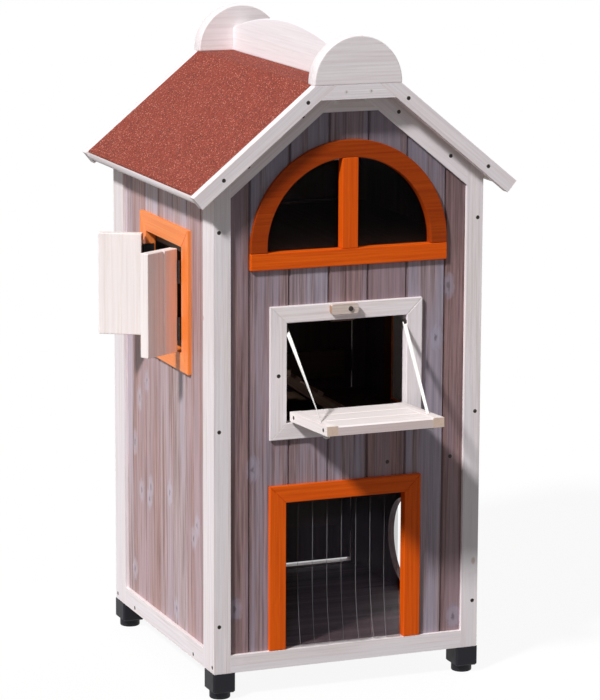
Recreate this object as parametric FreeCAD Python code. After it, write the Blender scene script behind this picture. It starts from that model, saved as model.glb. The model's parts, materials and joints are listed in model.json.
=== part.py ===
import FreeCAD, Part
import math
import os
from FreeCAD import Vector

# Cat house on four feet: framed and boarded walls, a felted roof with a flat ridge, a drop-down
# flap, a doorway with a strip curtain, shuttered side windows and a full-height back door.
# Millimetres. X runs to the right, Y to the back and Z up, with the origin under the middle of
# the house. Heights are measured from the underside of the walls, and every piece is lifted onto
# the feet when it is written.

# Walls
HOUSE_WIDTH = 570.0
HOUSE_DEPTH = 606.0
FRAME_THICK = 22.0
POST_WIDTH = 35.0
RAIL_HEIGHT = 36.0
SIDE_STILE_WIDTH = 40.0
SIDE_RAIL_HEIGHT = 38.0
GABLE_RAIL_WIDTH = 46.0
TOP_RAIL_HEIGHT = 39.0

# Tongued and grooved boards with a V joint on the face
BOARD_THICK = 14.0
BOARD_PITCH = 83.0
V_DEPTH = 3.0
TONGUE_THICK = 4.0
TONGUE_LENGTH = 5.0
TONGUE_PLAY = 0.3

# Feet
FOOT_WIDTH = 47.0
FOOT_DEPTH = 56.0
FOOT_PROUD = 2.0
FOOT_BLOCK_HEIGHT = 40.0
FOOT_PAD_HEIGHT = 15.0
FOOT_PAD_RADIUS = 21.0
FOOT_CORNER_RADIUS = 5.0
FOOT_EDGE_CHAMFER = 3.0
FOOT_PAD_EDGE = 3.0

# Roof
RIDGE_WIDTH = 180.0
RIDGE_HEIGHT = 1166.0
ROOF_PITCH = math.radians(39.41)
EAVE_OVERHANG = 54.5
FELT_THICK = 3.0
ROOF_BOARD_THICK = 15.0
GABLE_OVERHANG = 16.0
BARGE_THICK = 22.0
BARGE_WIDTH = 29.0
FILLER_HEIGHT = 28.0
ROOF_BATTEN_WIDTH = 30.0
ROOF_BATTEN_THICK = 20.0
EAVE_STRIP_THICK = 8.0
DISC_RADIUS = 91.5
DISC_RISE = 2.5
DISC_THICK = 36.0
RIDGE_BOARD_THICK = 35.0
RIDGE_BOARD_END_HEIGHT = 48.0
RIDGE_BOARD_TOP_HEIGHT = 90.0

# Arched window, hung under the top rail
ARCH_HEADROOM = 55.0
ARCH_SILL_HEIGHT = 33.5
ARCH_RADIUS = 208.0
ARCH_MEMBER = 35.0
ARCH_STILT = 7.0
MULLION_WIDTH = 34.0
PANE_THICK = 3.0
PANE_LAP = 17.0

# Middle opening with its drop-down flap, set out below the arched window
OPENING_CENTRE = -5.0
SILL_SPACING = 73.5
FLAP_OPENING_WIDTH = 256.0
FLAP_OPENING_HEIGHT = 200.0
FLAP_MEMBER = 33.5
FLAP_STOP_GAP = 3.0
FLAP_SIDE_GAP = 5.5
FLAP_TOP_GAP = 2.5
FLAP_CLEAT_WIDTH = 23.0
FLAP_BOARDS = 3
FLAP_REST_TILT = 3.0
FLAP_STOP_WIDTH = 48.0
FLAP_STOP_HEIGHT = 30.0
FLAP_STOP_THICK = 12.0
FLAP_STOP_DROP = 8.0
CORD_DIAMETER = 5.0
CORD_HOLE_PLAY = 0.8
CORD_FLAP_REACH = 150.0
CORD_FLAP_INSET = 11.5
CORD_ANCHOR_DEPTH = 7.0
CORD_ANCHOR_DROP = 15.0
CORD_REVEAL_GAP = 0.2
ANCHOR_RADIUS = 6.0
ANCHOR_THICK = 4.5
KNOT_RADIUS = 6.0
KNOT_GAP = 0.3

# Turn buttons
BUTTON_LENGTH = 57.0
BUTTON_HEIGHT = 20.0
BUTTON_THICK = 12.0
BUTTON_SHORT_ARM = 17.0
BUTTON_GAP = 0.4
BUTTON_PIVOT_RADIUS = 2.5
BUTTON_HEAD_RADIUS = 5.0
BUTTON_HEAD_THICK = 2.5
BUTTON_PLAY = 0.05
FLAP_BUTTON_RISE = 23.0
FLAP_BUTTON_OFFSET = 2.0
DOOR_BUTTON_HEIGHT = 640.0

# Doorway with its strip curtain, set out below the middle opening
DOORWAY_WIDTH = 255.0
DOORWAY_SPACING = 93.0
DOORWAY_MEMBER = 35.0
CURTAIN_STRIPS = 8
CURTAIN_SIDE_GAP = 3.5
CURTAIN_THICK = 2.0
CURTAIN_STRIP_GAP = 0.4
CURTAIN_FLOOR_GAP = 2.5
CURTAIN_BOW = 20.0
CURTAIN_BOW_HEIGHT = 150.0
CURTAIN_ROD_RADIUS = 2.0
CURTAIN_ROD_STANDOFF = 6.0
CURTAIN_HEM_RADIUS = 4.0
CURTAIN_HEM_PLAY = 0.05
CURTAIN_BATTEN_THICK = 12.0
CURTAIN_BATTEN_HEIGHT = 26.0
CURTAIN_BATTEN_LIFT = 8.0
CURTAIN_EAR_THICK = 2.0

# Side windows and shutters
WINDOW_OPENING = 214.0
WINDOW_MEMBER = 38.0
WINDOW_CENTRE_Y = -8.0
LEFT_WINDOW_DROP = 11.0
RIGHT_WINDOW_RISE = 6.0
SHUTTER_WIDTH = 90.0
SHUTTER_STOP_GAP = 2.0
SHUTTER_END_GAP = 2.0
SHUTTER_FIRST_BOARD = 41.5
SHUTTER_REST_ANGLE = 120.0
STOP_THICK = 8.0
STOP_HEIGHT = 30.0
STOP_LAP = 8.0
ROUND_HOLE_RADIUS = 95.0
ROUND_HOLE_HEIGHT = 143.0
ROUND_HOLE_Y = 12.0

# Butt hinges
HINGE_HEIGHT = 46.0
HINGE_GAP = 3.0
HINGE_LEAF_THICK = 1.2
HINGE_LEAF_REACH = 21.0
HINGE_KNUCKLE_RADIUS = 3.0
HINGE_PIN_RADIUS = 1.5
HINGE_FACE_GAP = 0.2
HINGE_PLAY = 0.05
HINGE_END_PLAY = 0.3
SHUTTER_HINGE_SPACING = 115.0
FLAP_HINGE_SPACING = 170.0
DOOR_HINGE_SPACING = 360.0

# Back door
DOOR_HEAD_DROP = 27.0
DOOR_EDGE_GAP = 3.0
DOOR_FOOT_GAP = 9.0
LINTEL_HEIGHT = 36.0
LEDGE_HEIGHT = 60.0
LEDGE_THICK = 18.0
LEDGE_INSET = 22.0
LEDGE_COUNT = 3
LEDGE_MARGIN = 81.0
LEDGE_CLEARANCE = 2.0

# Floors and ramp
FLOOR_THICK = 12.0
FLAP_SILL_RISE = 68.5
PLATFORM_RISE = 170.0
PLATFORM_WIDTH = 147.0
HATCH_WIDTH = 153.0
HATCH_LENGTH = 200.0
BEARER = 20.0
FRONT_BEARER_HEIGHT = 35.0
RAMP_FOOT_X = 133.0
RAMP_WIDTH = 120.0
RAMP_FRONT_Y = 10.0
RAMP_THICK = 18.0
RAMP_SLATS = 5
RAMP_SLAT_WIDTH = 14.0
RAMP_SLAT_THICK = 8.0

# Countersunk screws
SCREW_HEAD_RADIUS = 4.0
SCREW_HEAD_DEPTH = 2.5
SCREW_SHANK_RADIUS = 1.8
SCREW_LENGTH = 32.0
SCREW_POINT = 5.0
SCREW_RECESS_LENGTH = 4.6
SCREW_RECESS_WIDTH = 1.2
SCREW_RECESS_DEPTH = 1.5
POST_SCREW_MARGIN = 97.0
GABLE_SCREW_TOP = 11.0
GABLE_SCREW_FOOT = 36.5
TOP_RAIL_SCREW_SPACING = 65.0
FILLER_SCREW_SPACING = 52.0
BARGE_SCREW_TOP = 15.0
BARGE_SCREW_FOOT = 61.5
SIDE_SCREW_MARGIN = 60.0
SIDE_SCREW_HEIGHT = 9.0
RAIL_SCREW_LENGTH = 55.0
RAIL_SCREW_HEIGHT = 12.0
BEARER_SCREWS = (87.0, 224.0)
CLEAT_SCREW_MARGIN = 20.0

# Derived places
FOOT_HEIGHT = FOOT_BLOCK_HEIGHT + FOOT_PAD_HEIGHT
LEFT = -HOUSE_WIDTH / 2
RIGHT = HOUSE_WIDTH / 2
FRONT = -HOUSE_DEPTH / 2
BACK = HOUSE_DEPTH / 2
BOARD_RECESS = FRAME_THICK - BOARD_THICK
INNER_X = HOUSE_WIDTH / 2 - FRAME_THICK
INNER_Y = HOUSE_DEPTH / 2 - FRAME_THICK
POST_INNER = HOUSE_WIDTH / 2 - POST_WIDTH
STILE_INNER = INNER_Y - SIDE_STILE_WIDTH
ROOF_THICK = FELT_THICK + ROOF_BOARD_THICK
EAVE_REACH = HOUSE_WIDTH / 2 + EAVE_OVERHANG
EAVE_HEIGHT = RIDGE_HEIGHT - (EAVE_REACH - RIDGE_WIDTH / 2) * math.tan(ROOF_PITCH)
ROOF_FRONT = FRONT - GABLE_OVERHANG
ROOF_BACK = BACK + GABLE_OVERHANG
TOP_RAIL_BASE = RIDGE_HEIGHT - ROOF_THICK - TOP_RAIL_HEIGHT
BODY_BACK = BACK - BOARD_RECESS
SHUTTER_THICK = FRAME_THICK - SHUTTER_STOP_GAP
FLAP_THICK = FRAME_THICK - FLAP_STOP_GAP
HINGE_PIN_PROUD = HINGE_KNUCKLE_RADIUS + HINGE_FACE_GAP
CURTAIN_WIDTH = DOORWAY_WIDTH - 2 * CURTAIN_SIDE_GAP
FLOOR_BACK = INNER_Y - LEDGE_THICK - LEDGE_CLEARANCE
VERGE_REACH = HOUSE_DEPTH / 2 + GABLE_OVERHANG + BARGE_THICK

# Heights, worked down from the ridge
ARCH_CENTRE = TOP_RAIL_BASE - ARCH_HEADROOM - ARCH_RADIUS
ARCH_BASE = ARCH_CENTRE - ARCH_STILT
ARCH_SILL_BASE = ARCH_BASE - ARCH_SILL_HEIGHT
FLAP_OPENING_TOP = ARCH_SILL_BASE - SILL_SPACING - FLAP_MEMBER
FLAP_OPENING_BASE = FLAP_OPENING_TOP - FLAP_OPENING_HEIGHT
DOORWAY_TOP = FLAP_OPENING_BASE - FLAP_MEMBER - DOORWAY_SPACING - DOORWAY_MEMBER
LOFT_TOP = ARCH_BASE
MIDDLE_FLOOR_TOP = FLAP_OPENING_BASE - FLAP_SILL_RISE
PLATFORM_TOP = MIDDLE_FLOOR_TOP + PLATFORM_RISE
LEFT_WINDOW_HEIGHT = LOFT_TOP - LEFT_WINDOW_DROP - WINDOW_OPENING / 2
RIGHT_WINDOW_HEIGHT = MIDDLE_FLOOR_TOP + RIGHT_WINDOW_RISE + WINDOW_OPENING / 2

os.makedirs("parts", exist_ok=True)


def slab(x0, x1, y0, y1, z0, z1):
    return Part.makeBox(x1 - x0, y1 - y0, z1 - z0, Vector(x0, y0, z0))


def plate_xz(points, y0, y1):
    corners = [Vector(x, y0, z) for x, z in points]
    return Part.Face(Part.makePolygon(corners + corners[:1])).extrude(Vector(0, y1 - y0, 0))


def plate_yz(points, x0, x1):
    corners = [Vector(x0, y, z) for y, z in points]
    return Part.Face(Part.makePolygon(corners + corners[:1])).extrude(Vector(x1 - x0, 0, 0))


def mirrored(shape):
    return shape.mirror(Vector(0, 0, 0), Vector(1, 0, 0))


def turned(shape, point, axis, degrees):
    copy = shape.copy()
    copy.rotate(point, axis, degrees)
    return copy


screw_holes = []


def drilled(solid):
    for hole in screw_holes:
        if hole.BoundBox.intersect(solid.BoundBox):
            solid = solid.cut(hole)
    return solid


def save(node, *shapes):
    write(node, [drilled(solid) for shape in shapes for solid in shape.Solids])


def write(node, pieces):
    solids = [solid for piece in pieces for solid in piece.Solids]
    piece = solids[0] if len(solids) == 1 else Part.makeCompound(solids)
    piece = piece.copy()
    piece.translate(Vector(0, 0, FOOT_HEIGHT))
    piece.exportStep(f"parts/{node}.step")


# Roof lines: the felt surface, and everything at a square depth under it
def slope_height(x, depth):
    fall = (abs(x) - RIDGE_WIDTH / 2) * math.tan(ROOF_PITCH)
    return RIDGE_HEIGHT - fall - depth / math.cos(ROOF_PITCH)


def slope_reach(z, depth):
    drop = RIDGE_HEIGHT - depth / math.cos(ROOF_PITCH) - z
    return RIDGE_WIDTH / 2 + drop / math.tan(ROOF_PITCH)


def ridge_corner(depth):
    return RIDGE_WIDTH / 2 - depth * math.tan(ROOF_PITCH / 2), RIDGE_HEIGHT - depth


def eave_corner(depth, back=0.0):
    x = EAVE_REACH - back * math.cos(ROOF_PITCH) - depth * math.sin(ROOF_PITCH)
    z = EAVE_HEIGHT + back * math.sin(ROOF_PITCH) - depth * math.cos(ROOF_PITCH)
    return x, z


def under_roof(y0, y1):
    ridge_x, ridge_z = ridge_corner(ROOF_THICK)
    eave_x, eave_z = eave_corner(ROOF_THICK)
    outline = [(-eave_x, 0), (eave_x, 0), (eave_x, eave_z), (ridge_x, ridge_z)]
    return plate_xz(outline + [(-ridge_x, ridge_z), (-eave_x, eave_z)], y0, y1)


# Boards: a wall of tongued and grooved boards, set out from the middle with the tongues pointing in
def board_edge(u, outward, tongue):
    middle = BOARD_THICK / 2
    half = TONGUE_THICK / 2 if tongue else TONGUE_THICK / 2 + TONGUE_PLAY
    tip = TONGUE_LENGTH if tongue else -TONGUE_LENGTH - TONGUE_PLAY
    return [
        (u - outward * V_DEPTH, 0),
        (u, V_DEPTH),
        (u, middle - half),
        (u + outward * tip, middle - half),
        (u + outward * tip, middle + half),
        (u, middle + half),
        (u, BOARD_THICK),
    ]


def board_wall(place, region, openings):
    lift = Vector(0, 0, region.BoundBox.ZMax - region.BoundBox.ZMin)
    base = region.BoundBox.ZMin
    reach = max(region.BoundBox.XLength, region.BoundBox.YLength) / 2
    count = math.ceil((reach - BOARD_PITCH / 2) / BOARD_PITCH)
    pieces = []
    for index in range(-count, count + 1):
        right = board_edge((index + 0.5) * BOARD_PITCH, 1, index < 0)
        left = board_edge((index - 0.5) * BOARD_PITCH, -1, index > 0)
        corners = [place(u, v, base) for u, v in right + left[::-1]]
        board = Part.Face(Part.makePolygon(corners + corners[:1])).extrude(lift).common(region)
        for opening in openings:
            board = board.cut(opening)
        pieces += board.Solids
    return pieces


# Mitred frames: the outlines of the members round a rectangular opening
def mitred_members(low_u, high_u, low_w, high_w, width, has_sill=True):
    out_u0, out_u1, out_w1 = low_u - width, high_u + width, high_w + width
    out_w0 = low_w - width if has_sill else low_w
    members = [
        [(out_u0, out_w0), (out_u0, out_w1), (low_u, high_w), (low_u, low_w)],
        [(out_u1, out_w0), (out_u1, out_w1), (high_u, high_w), (high_u, low_w)],
        [(out_u0, out_w1), (out_u1, out_w1), (high_u, high_w), (low_u, high_w)],
    ]
    if has_sill:
        members.append([(out_u0, out_w0), (out_u1, out_w0), (high_u, low_w), (low_u, low_w)])
    return members


# Butt hinges, drawn shut: the pin stands along `along`, both leaves lie side by side towards
# `inward`, and the fixed leaf is on the side of `fixed_side`
def butt_hinge(centre, inward, fixed_side, along):
    def cylinder(radius, low, high):
        return Part.makeCylinder(radius, high - low, Vector(0, 0, low))

    end = HINGE_HEIGHT / 2
    knuckle = HINGE_HEIGHT / 6
    outer = HINGE_GAP / 2
    inner = outer - HINGE_LEAF_THICK
    room = HINGE_KNUCKLE_RADIUS + HINGE_END_PLAY
    fixed = slab(0, HINGE_LEAF_REACH, inner, outer, -end, end)
    fixed = fixed.cut(cylinder(room, -knuckle - HINGE_END_PLAY, knuckle + HINGE_END_PLAY))
    fixed = fixed.fuse([
        cylinder(HINGE_KNUCKLE_RADIUS, -end, -knuckle - HINGE_END_PLAY / 2),
        cylinder(HINGE_KNUCKLE_RADIUS, knuckle + HINGE_END_PLAY / 2, end),
        cylinder(HINGE_PIN_RADIUS, -end, end),
    ])
    moving = slab(0, HINGE_LEAF_REACH, -outer, -inner, -end, end)
    barrel = knuckle - HINGE_END_PLAY / 2
    moving = moving.cut(cylinder(room, -end, -barrel))
    moving = moving.cut(cylinder(room, barrel, end))
    moving = moving.fuse(cylinder(HINGE_KNUCKLE_RADIUS, -barrel, barrel))
    moving = moving.cut(cylinder(HINGE_PIN_RADIUS + HINGE_PLAY, -end, end))
    rows = zip(inward, fixed_side, along, centre)
    matrix = FreeCAD.Matrix(*[value for row in rows for value in row], 0, 0, 0, 1)
    for leaf in (fixed, moving):
        leaf.Placement = FreeCAD.Placement(matrix)
    return fixed, moving


# Turn button, drawn level with its long arm to the left and its back face on y = 0
def turn_button():
    long_arm = BUTTON_LENGTH - BUTTON_SHORT_ARM
    half = BUTTON_HEIGHT / 2
    body = slab(-long_arm, BUTTON_SHORT_ARM, -BUTTON_THICK, 0, -half, half)
    upright = [edge for edge in body.Edges if edge.BoundBox.YLength > BUTTON_THICK / 2]
    body = body.makeFillet(BUTTON_HEIGHT / 4, upright)
    bore = BUTTON_PIVOT_RADIUS + BUTTON_PLAY
    return body.cut(Part.makeCylinder(bore, BUTTON_THICK, Vector(0, 0, 0), Vector(0, -1, 0)))


def pivot_screw():
    length = BUTTON_GAP + BUTTON_THICK + BUTTON_GAP
    shank = Part.makeCylinder(BUTTON_PIVOT_RADIUS, length, Vector(0, 0, 0), Vector(0, -1, 0))
    start = Vector(0, -length, 0)
    head = Part.makeCylinder(BUTTON_HEAD_RADIUS, BUTTON_HEAD_THICK, start, Vector(0, -1, 0))
    rim = [edge for edge in head.Edges if edge.BoundBox.YMax < start.y - BUTTON_HEAD_THICK / 2]
    rim = [edge for edge in rim if edge.BoundBox.YLength < 0.01]
    return shank.fuse(head.makeFillet(BUTTON_HEAD_THICK / 2, rim))


# Countersunk screws, each with its head flush at `place`: the hole it cuts, and the screw itself
def screw(place, way, length=SCREW_LENGTH):
    outline = [
        (0, 0), (SCREW_HEAD_RADIUS, 0), (SCREW_SHANK_RADIUS, SCREW_HEAD_DEPTH),
        (SCREW_SHANK_RADIUS, length - SCREW_POINT), (0, length),
    ]
    corners = [Vector(radius, 0, depth) for radius, depth in outline]
    axis = Vector(0, 0, 1)
    hole = Part.Face(Part.makePolygon(corners + corners[:1])).revolve(Vector(0, 0, 0), axis, 360)
    reach, half = SCREW_RECESS_LENGTH / 2, SCREW_RECESS_WIDTH / 2
    arm = slab(-reach, reach, -half, half, 0, SCREW_RECESS_DEPTH)
    body = hole.cut(arm.fuse(turned(arm, Vector(0, 0, 0), axis, 90)))
    for shape in (hole, body):
        shape.Placement = FreeCAD.Placement(place, FreeCAD.Rotation(axis, way))
    return hole, body


frame_screws = []


def drive(place, way, length=SCREW_LENGTH):
    hole, body = screw(place, way, length)
    screw_holes.append(hole)
    frame_screws.append(body)


# Screws on both gable ends: posts to side stiles, rails to roof battens, verges to the roof
post_top = slope_height(HOUSE_WIDTH / 2, ROOF_THICK)
post_heights = (POST_SCREW_MARGIN, post_top / 2, post_top - POST_SCREW_MARGIN)
gable_spots = [((INNER_X + RIGHT) / 2, height) for height in post_heights]
gable_spots.append((TOP_RAIL_SCREW_SPACING / 2, TOP_RAIL_BASE + TOP_RAIL_HEIGHT / 2))
for x in (RIDGE_WIDTH / 2 + GABLE_SCREW_TOP, POST_INNER - GABLE_SCREW_FOOT):
    gable_spots.append((x, slope_height(x, ROOF_THICK + GABLE_RAIL_WIDTH / 2)))
verge_spots = [(FILLER_SCREW_SPACING / 2, RIDGE_HEIGHT - FILLER_HEIGHT / 2)]
for x in (RIDGE_WIDTH / 2 + BARGE_SCREW_TOP, EAVE_REACH - BARGE_SCREW_FOOT):
    verge_spots.append((x, slope_height(x, BARGE_WIDTH / 2)))
for end in (-1, 1):
    for reach, spots in ((BACK, gable_spots), (VERGE_REACH, verge_spots)):
        for x, z in spots:
            for side in (-1, 1):
                drive(Vector(side * x, end * reach, z), Vector(0, -end, 0))

# Screws on both sides, through the rails to the floor bearers and through the posts to the rails
for side in (-1, 1):
    for end in (-1, 1):
        y = end * (STILE_INNER - SIDE_SCREW_MARGIN)
        drive(Vector(side * RIGHT, y, SIDE_SCREW_HEIGHT), Vector(-side, 0, 0))
        y = end * (INNER_Y + BACK) / 2
        drive(Vector(side * RIGHT, y, RAIL_SCREW_HEIGHT), Vector(-side, 0, 0), RAIL_SCREW_LENGTH)

# Screws in the front alone, to the bearer of the middle floor and to the platform
for x in BEARER_SCREWS:
    z = MIDDLE_FLOOR_TOP - FLOOR_THICK - FRONT_BEARER_HEIGHT / 2
    drive(Vector(x, FRONT + BOARD_RECESS, z), Vector(0, 1, 0))
x = OPENING_CENTRE - FLAP_OPENING_WIDTH / 2 - FLAP_MEMBER / 2
drive(Vector(x, FRONT, PLATFORM_TOP - FLOOR_THICK / 2), Vector(0, 1, 0))
write("frame_screws", frame_screws)


# Feet: a rounded block under each corner of the walls, on a round pad
def foot():
    block = slab(0, FOOT_WIDTH, 0, FOOT_DEPTH, -FOOT_BLOCK_HEIGHT, 0)
    upright = [edge for edge in block.Edges if edge.BoundBox.ZLength > FOOT_BLOCK_HEIGHT / 2]
    block = block.makeFillet(FOOT_CORNER_RADIUS, upright)
    lower = [edge for edge in block.Edges if edge.BoundBox.ZMax < -FOOT_BLOCK_HEIGHT / 2]
    block = block.makeChamfer(FOOT_EDGE_CHAMFER, lower)
    middle = Vector(FOOT_WIDTH / 2, FOOT_DEPTH / 2, -FOOT_HEIGHT)
    pad = Part.makeCylinder(FOOT_PAD_RADIUS, FOOT_PAD_HEIGHT, middle)
    rim = [edge for edge in pad.Edges if edge.BoundBox.ZMax < -FOOT_PAD_HEIGHT / 2 - FOOT_BLOCK_HEIGHT]
    return block.fuse(pad.makeFillet(FOOT_PAD_EDGE, rim)).removeSplitter()


front_left_foot = foot()
front_left_foot.translate(Vector(LEFT - FOOT_PROUD, FRONT - FOOT_PROUD, 0))
back_left_foot = front_left_foot.mirror(Vector(0, 0, 0), Vector(0, 1, 0))
save("feet", *[piece for one in (front_left_foot, back_left_foot) for piece in (one, mirrored(one))])


# Gable ends: posts, bottom rail, gable rails that follow the roof, and the top rail between them
def gable_posts(y0, y1):
    left = slab(LEFT, -POST_INNER, y0, y1, 0, RIDGE_HEIGHT).common(under_roof(y0, y1))
    return left, mirrored(left)


def gable_rails(y0, y1):
    depth = ROOF_THICK + GABLE_RAIL_WIDTH
    ridge_x, ridge_z = ridge_corner(ROOF_THICK)
    outline = [
        (POST_INNER, slope_height(POST_INNER, depth)),
        (POST_INNER, slope_height(POST_INNER, ROOF_THICK)),
        (ridge_x, ridge_z),
        (slope_reach(ridge_z, depth), ridge_z),
    ]
    right = plate_xz(outline, y0, y1)
    return mirrored(right), right


def top_rail(y0, y1):
    depth = ROOF_THICK + GABLE_RAIL_WIDTH
    high = RIDGE_HEIGHT - ROOF_THICK
    low_x, high_x = slope_reach(TOP_RAIL_BASE, depth), slope_reach(high, depth)
    outline = [(-low_x, TOP_RAIL_BASE), (low_x, TOP_RAIL_BASE), (high_x, high), (-high_x, high)]
    return plate_xz(outline, y0, y1)


def gable_region(base, y0, y1):
    depth = ROOF_THICK + GABLE_RAIL_WIDTH
    top_x = slope_reach(TOP_RAIL_BASE, depth)
    shoulder = slope_height(POST_INNER, depth)
    outline = [(-POST_INNER, base), (POST_INNER, base), (POST_INNER, shoulder), (top_x, TOP_RAIL_BASE)]
    return plate_xz(outline + [(-top_x, TOP_RAIL_BASE), (-POST_INNER, shoulder)], y0, y1)


front_inner = FRONT + FRAME_THICK
front_rail = slab(-POST_INNER, POST_INNER, FRONT, front_inner, 0, RAIL_HEIGHT)
front_gable = [*gable_rails(FRONT, front_inner), top_rail(FRONT, front_inner)]
save("front_frame", *gable_posts(FRONT, front_inner), front_rail, *front_gable)

# Arched window: half-ring on a sill, with a mullion and a clear pane behind
arch_inner = ARCH_RADIUS - ARCH_MEMBER


def arch_body(radius, y0, y1):
    axis = Vector(0, 1, 0)
    disc = Part.makeCylinder(radius, y1 - y0, Vector(0, y0, ARCH_CENTRE), axis)
    upper = slab(-radius, radius, y0, y1, ARCH_CENTRE, ARCH_CENTRE + radius)
    return disc.common(upper).fuse(slab(-radius, radius, y0, y1, ARCH_BASE, ARCH_CENTRE)).removeSplitter()


arch_hole = arch_body(arch_inner, FRONT, front_inner)
arch_frame = arch_body(ARCH_RADIUS, FRONT, front_inner).cut(arch_hole)
arch_top = ARCH_CENTRE + ARCH_RADIUS
mullion = slab(-MULLION_WIDTH / 2, MULLION_WIDTH / 2, FRONT, front_inner, ARCH_BASE, arch_top)
pane_radius = arch_inner + PANE_LAP
save("arch_frame", arch_frame)
save("arch_sill", slab(-ARCH_RADIUS, ARCH_RADIUS, FRONT, front_inner, ARCH_SILL_BASE, ARCH_BASE))
save("arch_mullion", mullion.common(arch_hole))
save("arch_pane", arch_body(pane_radius, front_inner, front_inner + PANE_THICK))

# Middle opening: mitred frame, with a stop behind the flap under its head
flap_x0 = OPENING_CENTRE - FLAP_OPENING_WIDTH / 2
flap_x1 = OPENING_CENTRE + FLAP_OPENING_WIDTH / 2
flap_z0 = FLAP_OPENING_BASE
flap_z1 = FLAP_OPENING_TOP
flap_members = mitred_members(flap_x0, flap_x1, flap_z0, flap_z1, FLAP_MEMBER)
flap_stop = slab(
    OPENING_CENTRE - FLAP_STOP_WIDTH / 2, OPENING_CENTRE + FLAP_STOP_WIDTH / 2,
    front_inner, front_inner + FLAP_STOP_THICK,
    flap_z1 - FLAP_STOP_DROP, flap_z1 - FLAP_STOP_DROP + FLAP_STOP_HEIGHT,
)
save("flap_frame", *[plate_xz(member, FRONT, front_inner) for member in flap_members])

# Doorway: mitred frame standing on the bottom rail
door_x0 = OPENING_CENTRE - DOORWAY_WIDTH / 2
door_x1 = OPENING_CENTRE + DOORWAY_WIDTH / 2
door_members = mitred_members(door_x0, door_x1, RAIL_HEIGHT, DOORWAY_TOP, DOORWAY_MEMBER, False)
save("doorway_frame", *[plate_xz(member, FRONT, front_inner) for member in door_members])

# Front boards, cut round the three openings
board_front = FRONT + BOARD_RECESS
front_openings = [
    slab(door_x0 - DOORWAY_MEMBER, door_x1 + DOORWAY_MEMBER, FRONT, front_inner,
         0, DOORWAY_TOP + DOORWAY_MEMBER),
    slab(flap_x0 - FLAP_MEMBER, flap_x1 + FLAP_MEMBER, FRONT, front_inner,
         flap_z0 - FLAP_MEMBER, flap_z1 + FLAP_MEMBER),
    slab(-ARCH_RADIUS, ARCH_RADIUS, FRONT, front_inner, ARCH_SILL_BASE, ARCH_BASE),
    arch_body(ARCH_RADIUS, FRONT, front_inner),
]
front_boards = board_wall(
    lambda u, v, w: Vector(u, board_front + v, w),
    gable_region(RAIL_HEIGHT, board_front, front_inner),
    front_openings,
)
save("front_boards", *front_boards)


# Side walls: two stiles, bottom rail and a top rail bevelled to the roof
def side_frame(window_height):
    window = WINDOW_OPENING / 2
    top = slope_height(HOUSE_WIDTH / 2, ROOF_THICK) - SIDE_RAIL_HEIGHT
    limits = under_roof(-INNER_Y, INNER_Y)
    pieces = [
        slab(INNER_X, RIGHT, -INNER_Y, -STILE_INNER, 0, RIDGE_HEIGHT).common(limits),
        slab(INNER_X, RIGHT, STILE_INNER, INNER_Y, 0, RIDGE_HEIGHT).common(limits),
        slab(INNER_X, RIGHT, -STILE_INNER, STILE_INNER, 0, SIDE_RAIL_HEIGHT),
        slab(INNER_X, RIGHT, -STILE_INNER, STILE_INNER, top, RIDGE_HEIGHT).common(limits),
    ]
    members = mitred_members(
        WINDOW_CENTRE_Y - window, WINDOW_CENTRE_Y + window,
        window_height - window, window_height + window, WINDOW_MEMBER,
    )
    outer = window + WINDOW_MEMBER
    opening = slab(INNER_X, RIGHT, WINDOW_CENTRE_Y - outer, WINDOW_CENTRE_Y + outer,
                   window_height - outer, window_height + outer)
    region = slab(INNER_X, RIGHT - BOARD_RECESS, -STILE_INNER, STILE_INNER, SIDE_RAIL_HEIGHT, top)
    frame = [plate_yz(member, INNER_X, RIGHT) for member in members]
    return pieces, frame, opening, region


def side_boards(region, openings):
    return board_wall(lambda u, v, w: Vector(RIGHT - BOARD_RECESS - v, u, w), region, openings)


left_pieces, left_window, left_opening, left_region = side_frame(LEFT_WINDOW_HEIGHT)
right_pieces, right_window, right_opening, right_region = side_frame(RIGHT_WINDOW_HEIGHT)
round_centre = Vector(INNER_X, ROUND_HOLE_Y, ROUND_HOLE_HEIGHT)
round_hole = Part.makeCylinder(ROUND_HOLE_RADIUS, FRAME_THICK, round_centre, Vector(1, 0, 0))
save("left_wall_frame", *[mirrored(piece) for piece in left_pieces])
save("left_wall_boards", *[mirrored(board) for board in side_boards(left_region, [left_opening])])
save("left_window_frame", *[mirrored(piece) for piece in left_window])
save("right_wall_frame", *right_pieces)
save("right_wall_boards", *side_boards(right_region, [right_opening, round_hole]))
save("right_window_frame", *right_window)

# Shutter stop inside the head of the right window; on the left the loft bearer does its work
right_head = RIGHT_WINDOW_HEIGHT + WINDOW_OPENING / 2
right_stop = slab(
    INNER_X - STOP_THICK, INNER_X,
    WINDOW_CENTRE_Y - WINDOW_OPENING / 2, WINDOW_CENTRE_Y + WINDOW_OPENING / 2,
    right_head - STOP_LAP, right_head - STOP_LAP + STOP_HEIGHT,
)
save("opening_stops", flap_stop, right_stop)

# Shutters: two boards glued edge to edge with a V joint outside, drawn shut on the right wall
window_y0 = WINDOW_CENTRE_Y - WINDOW_OPENING / 2
window_y1 = WINDOW_CENTRE_Y + WINDOW_OPENING / 2
pin_x = RIGHT + HINGE_PIN_PROUD
hinge_leaves = []


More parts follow.
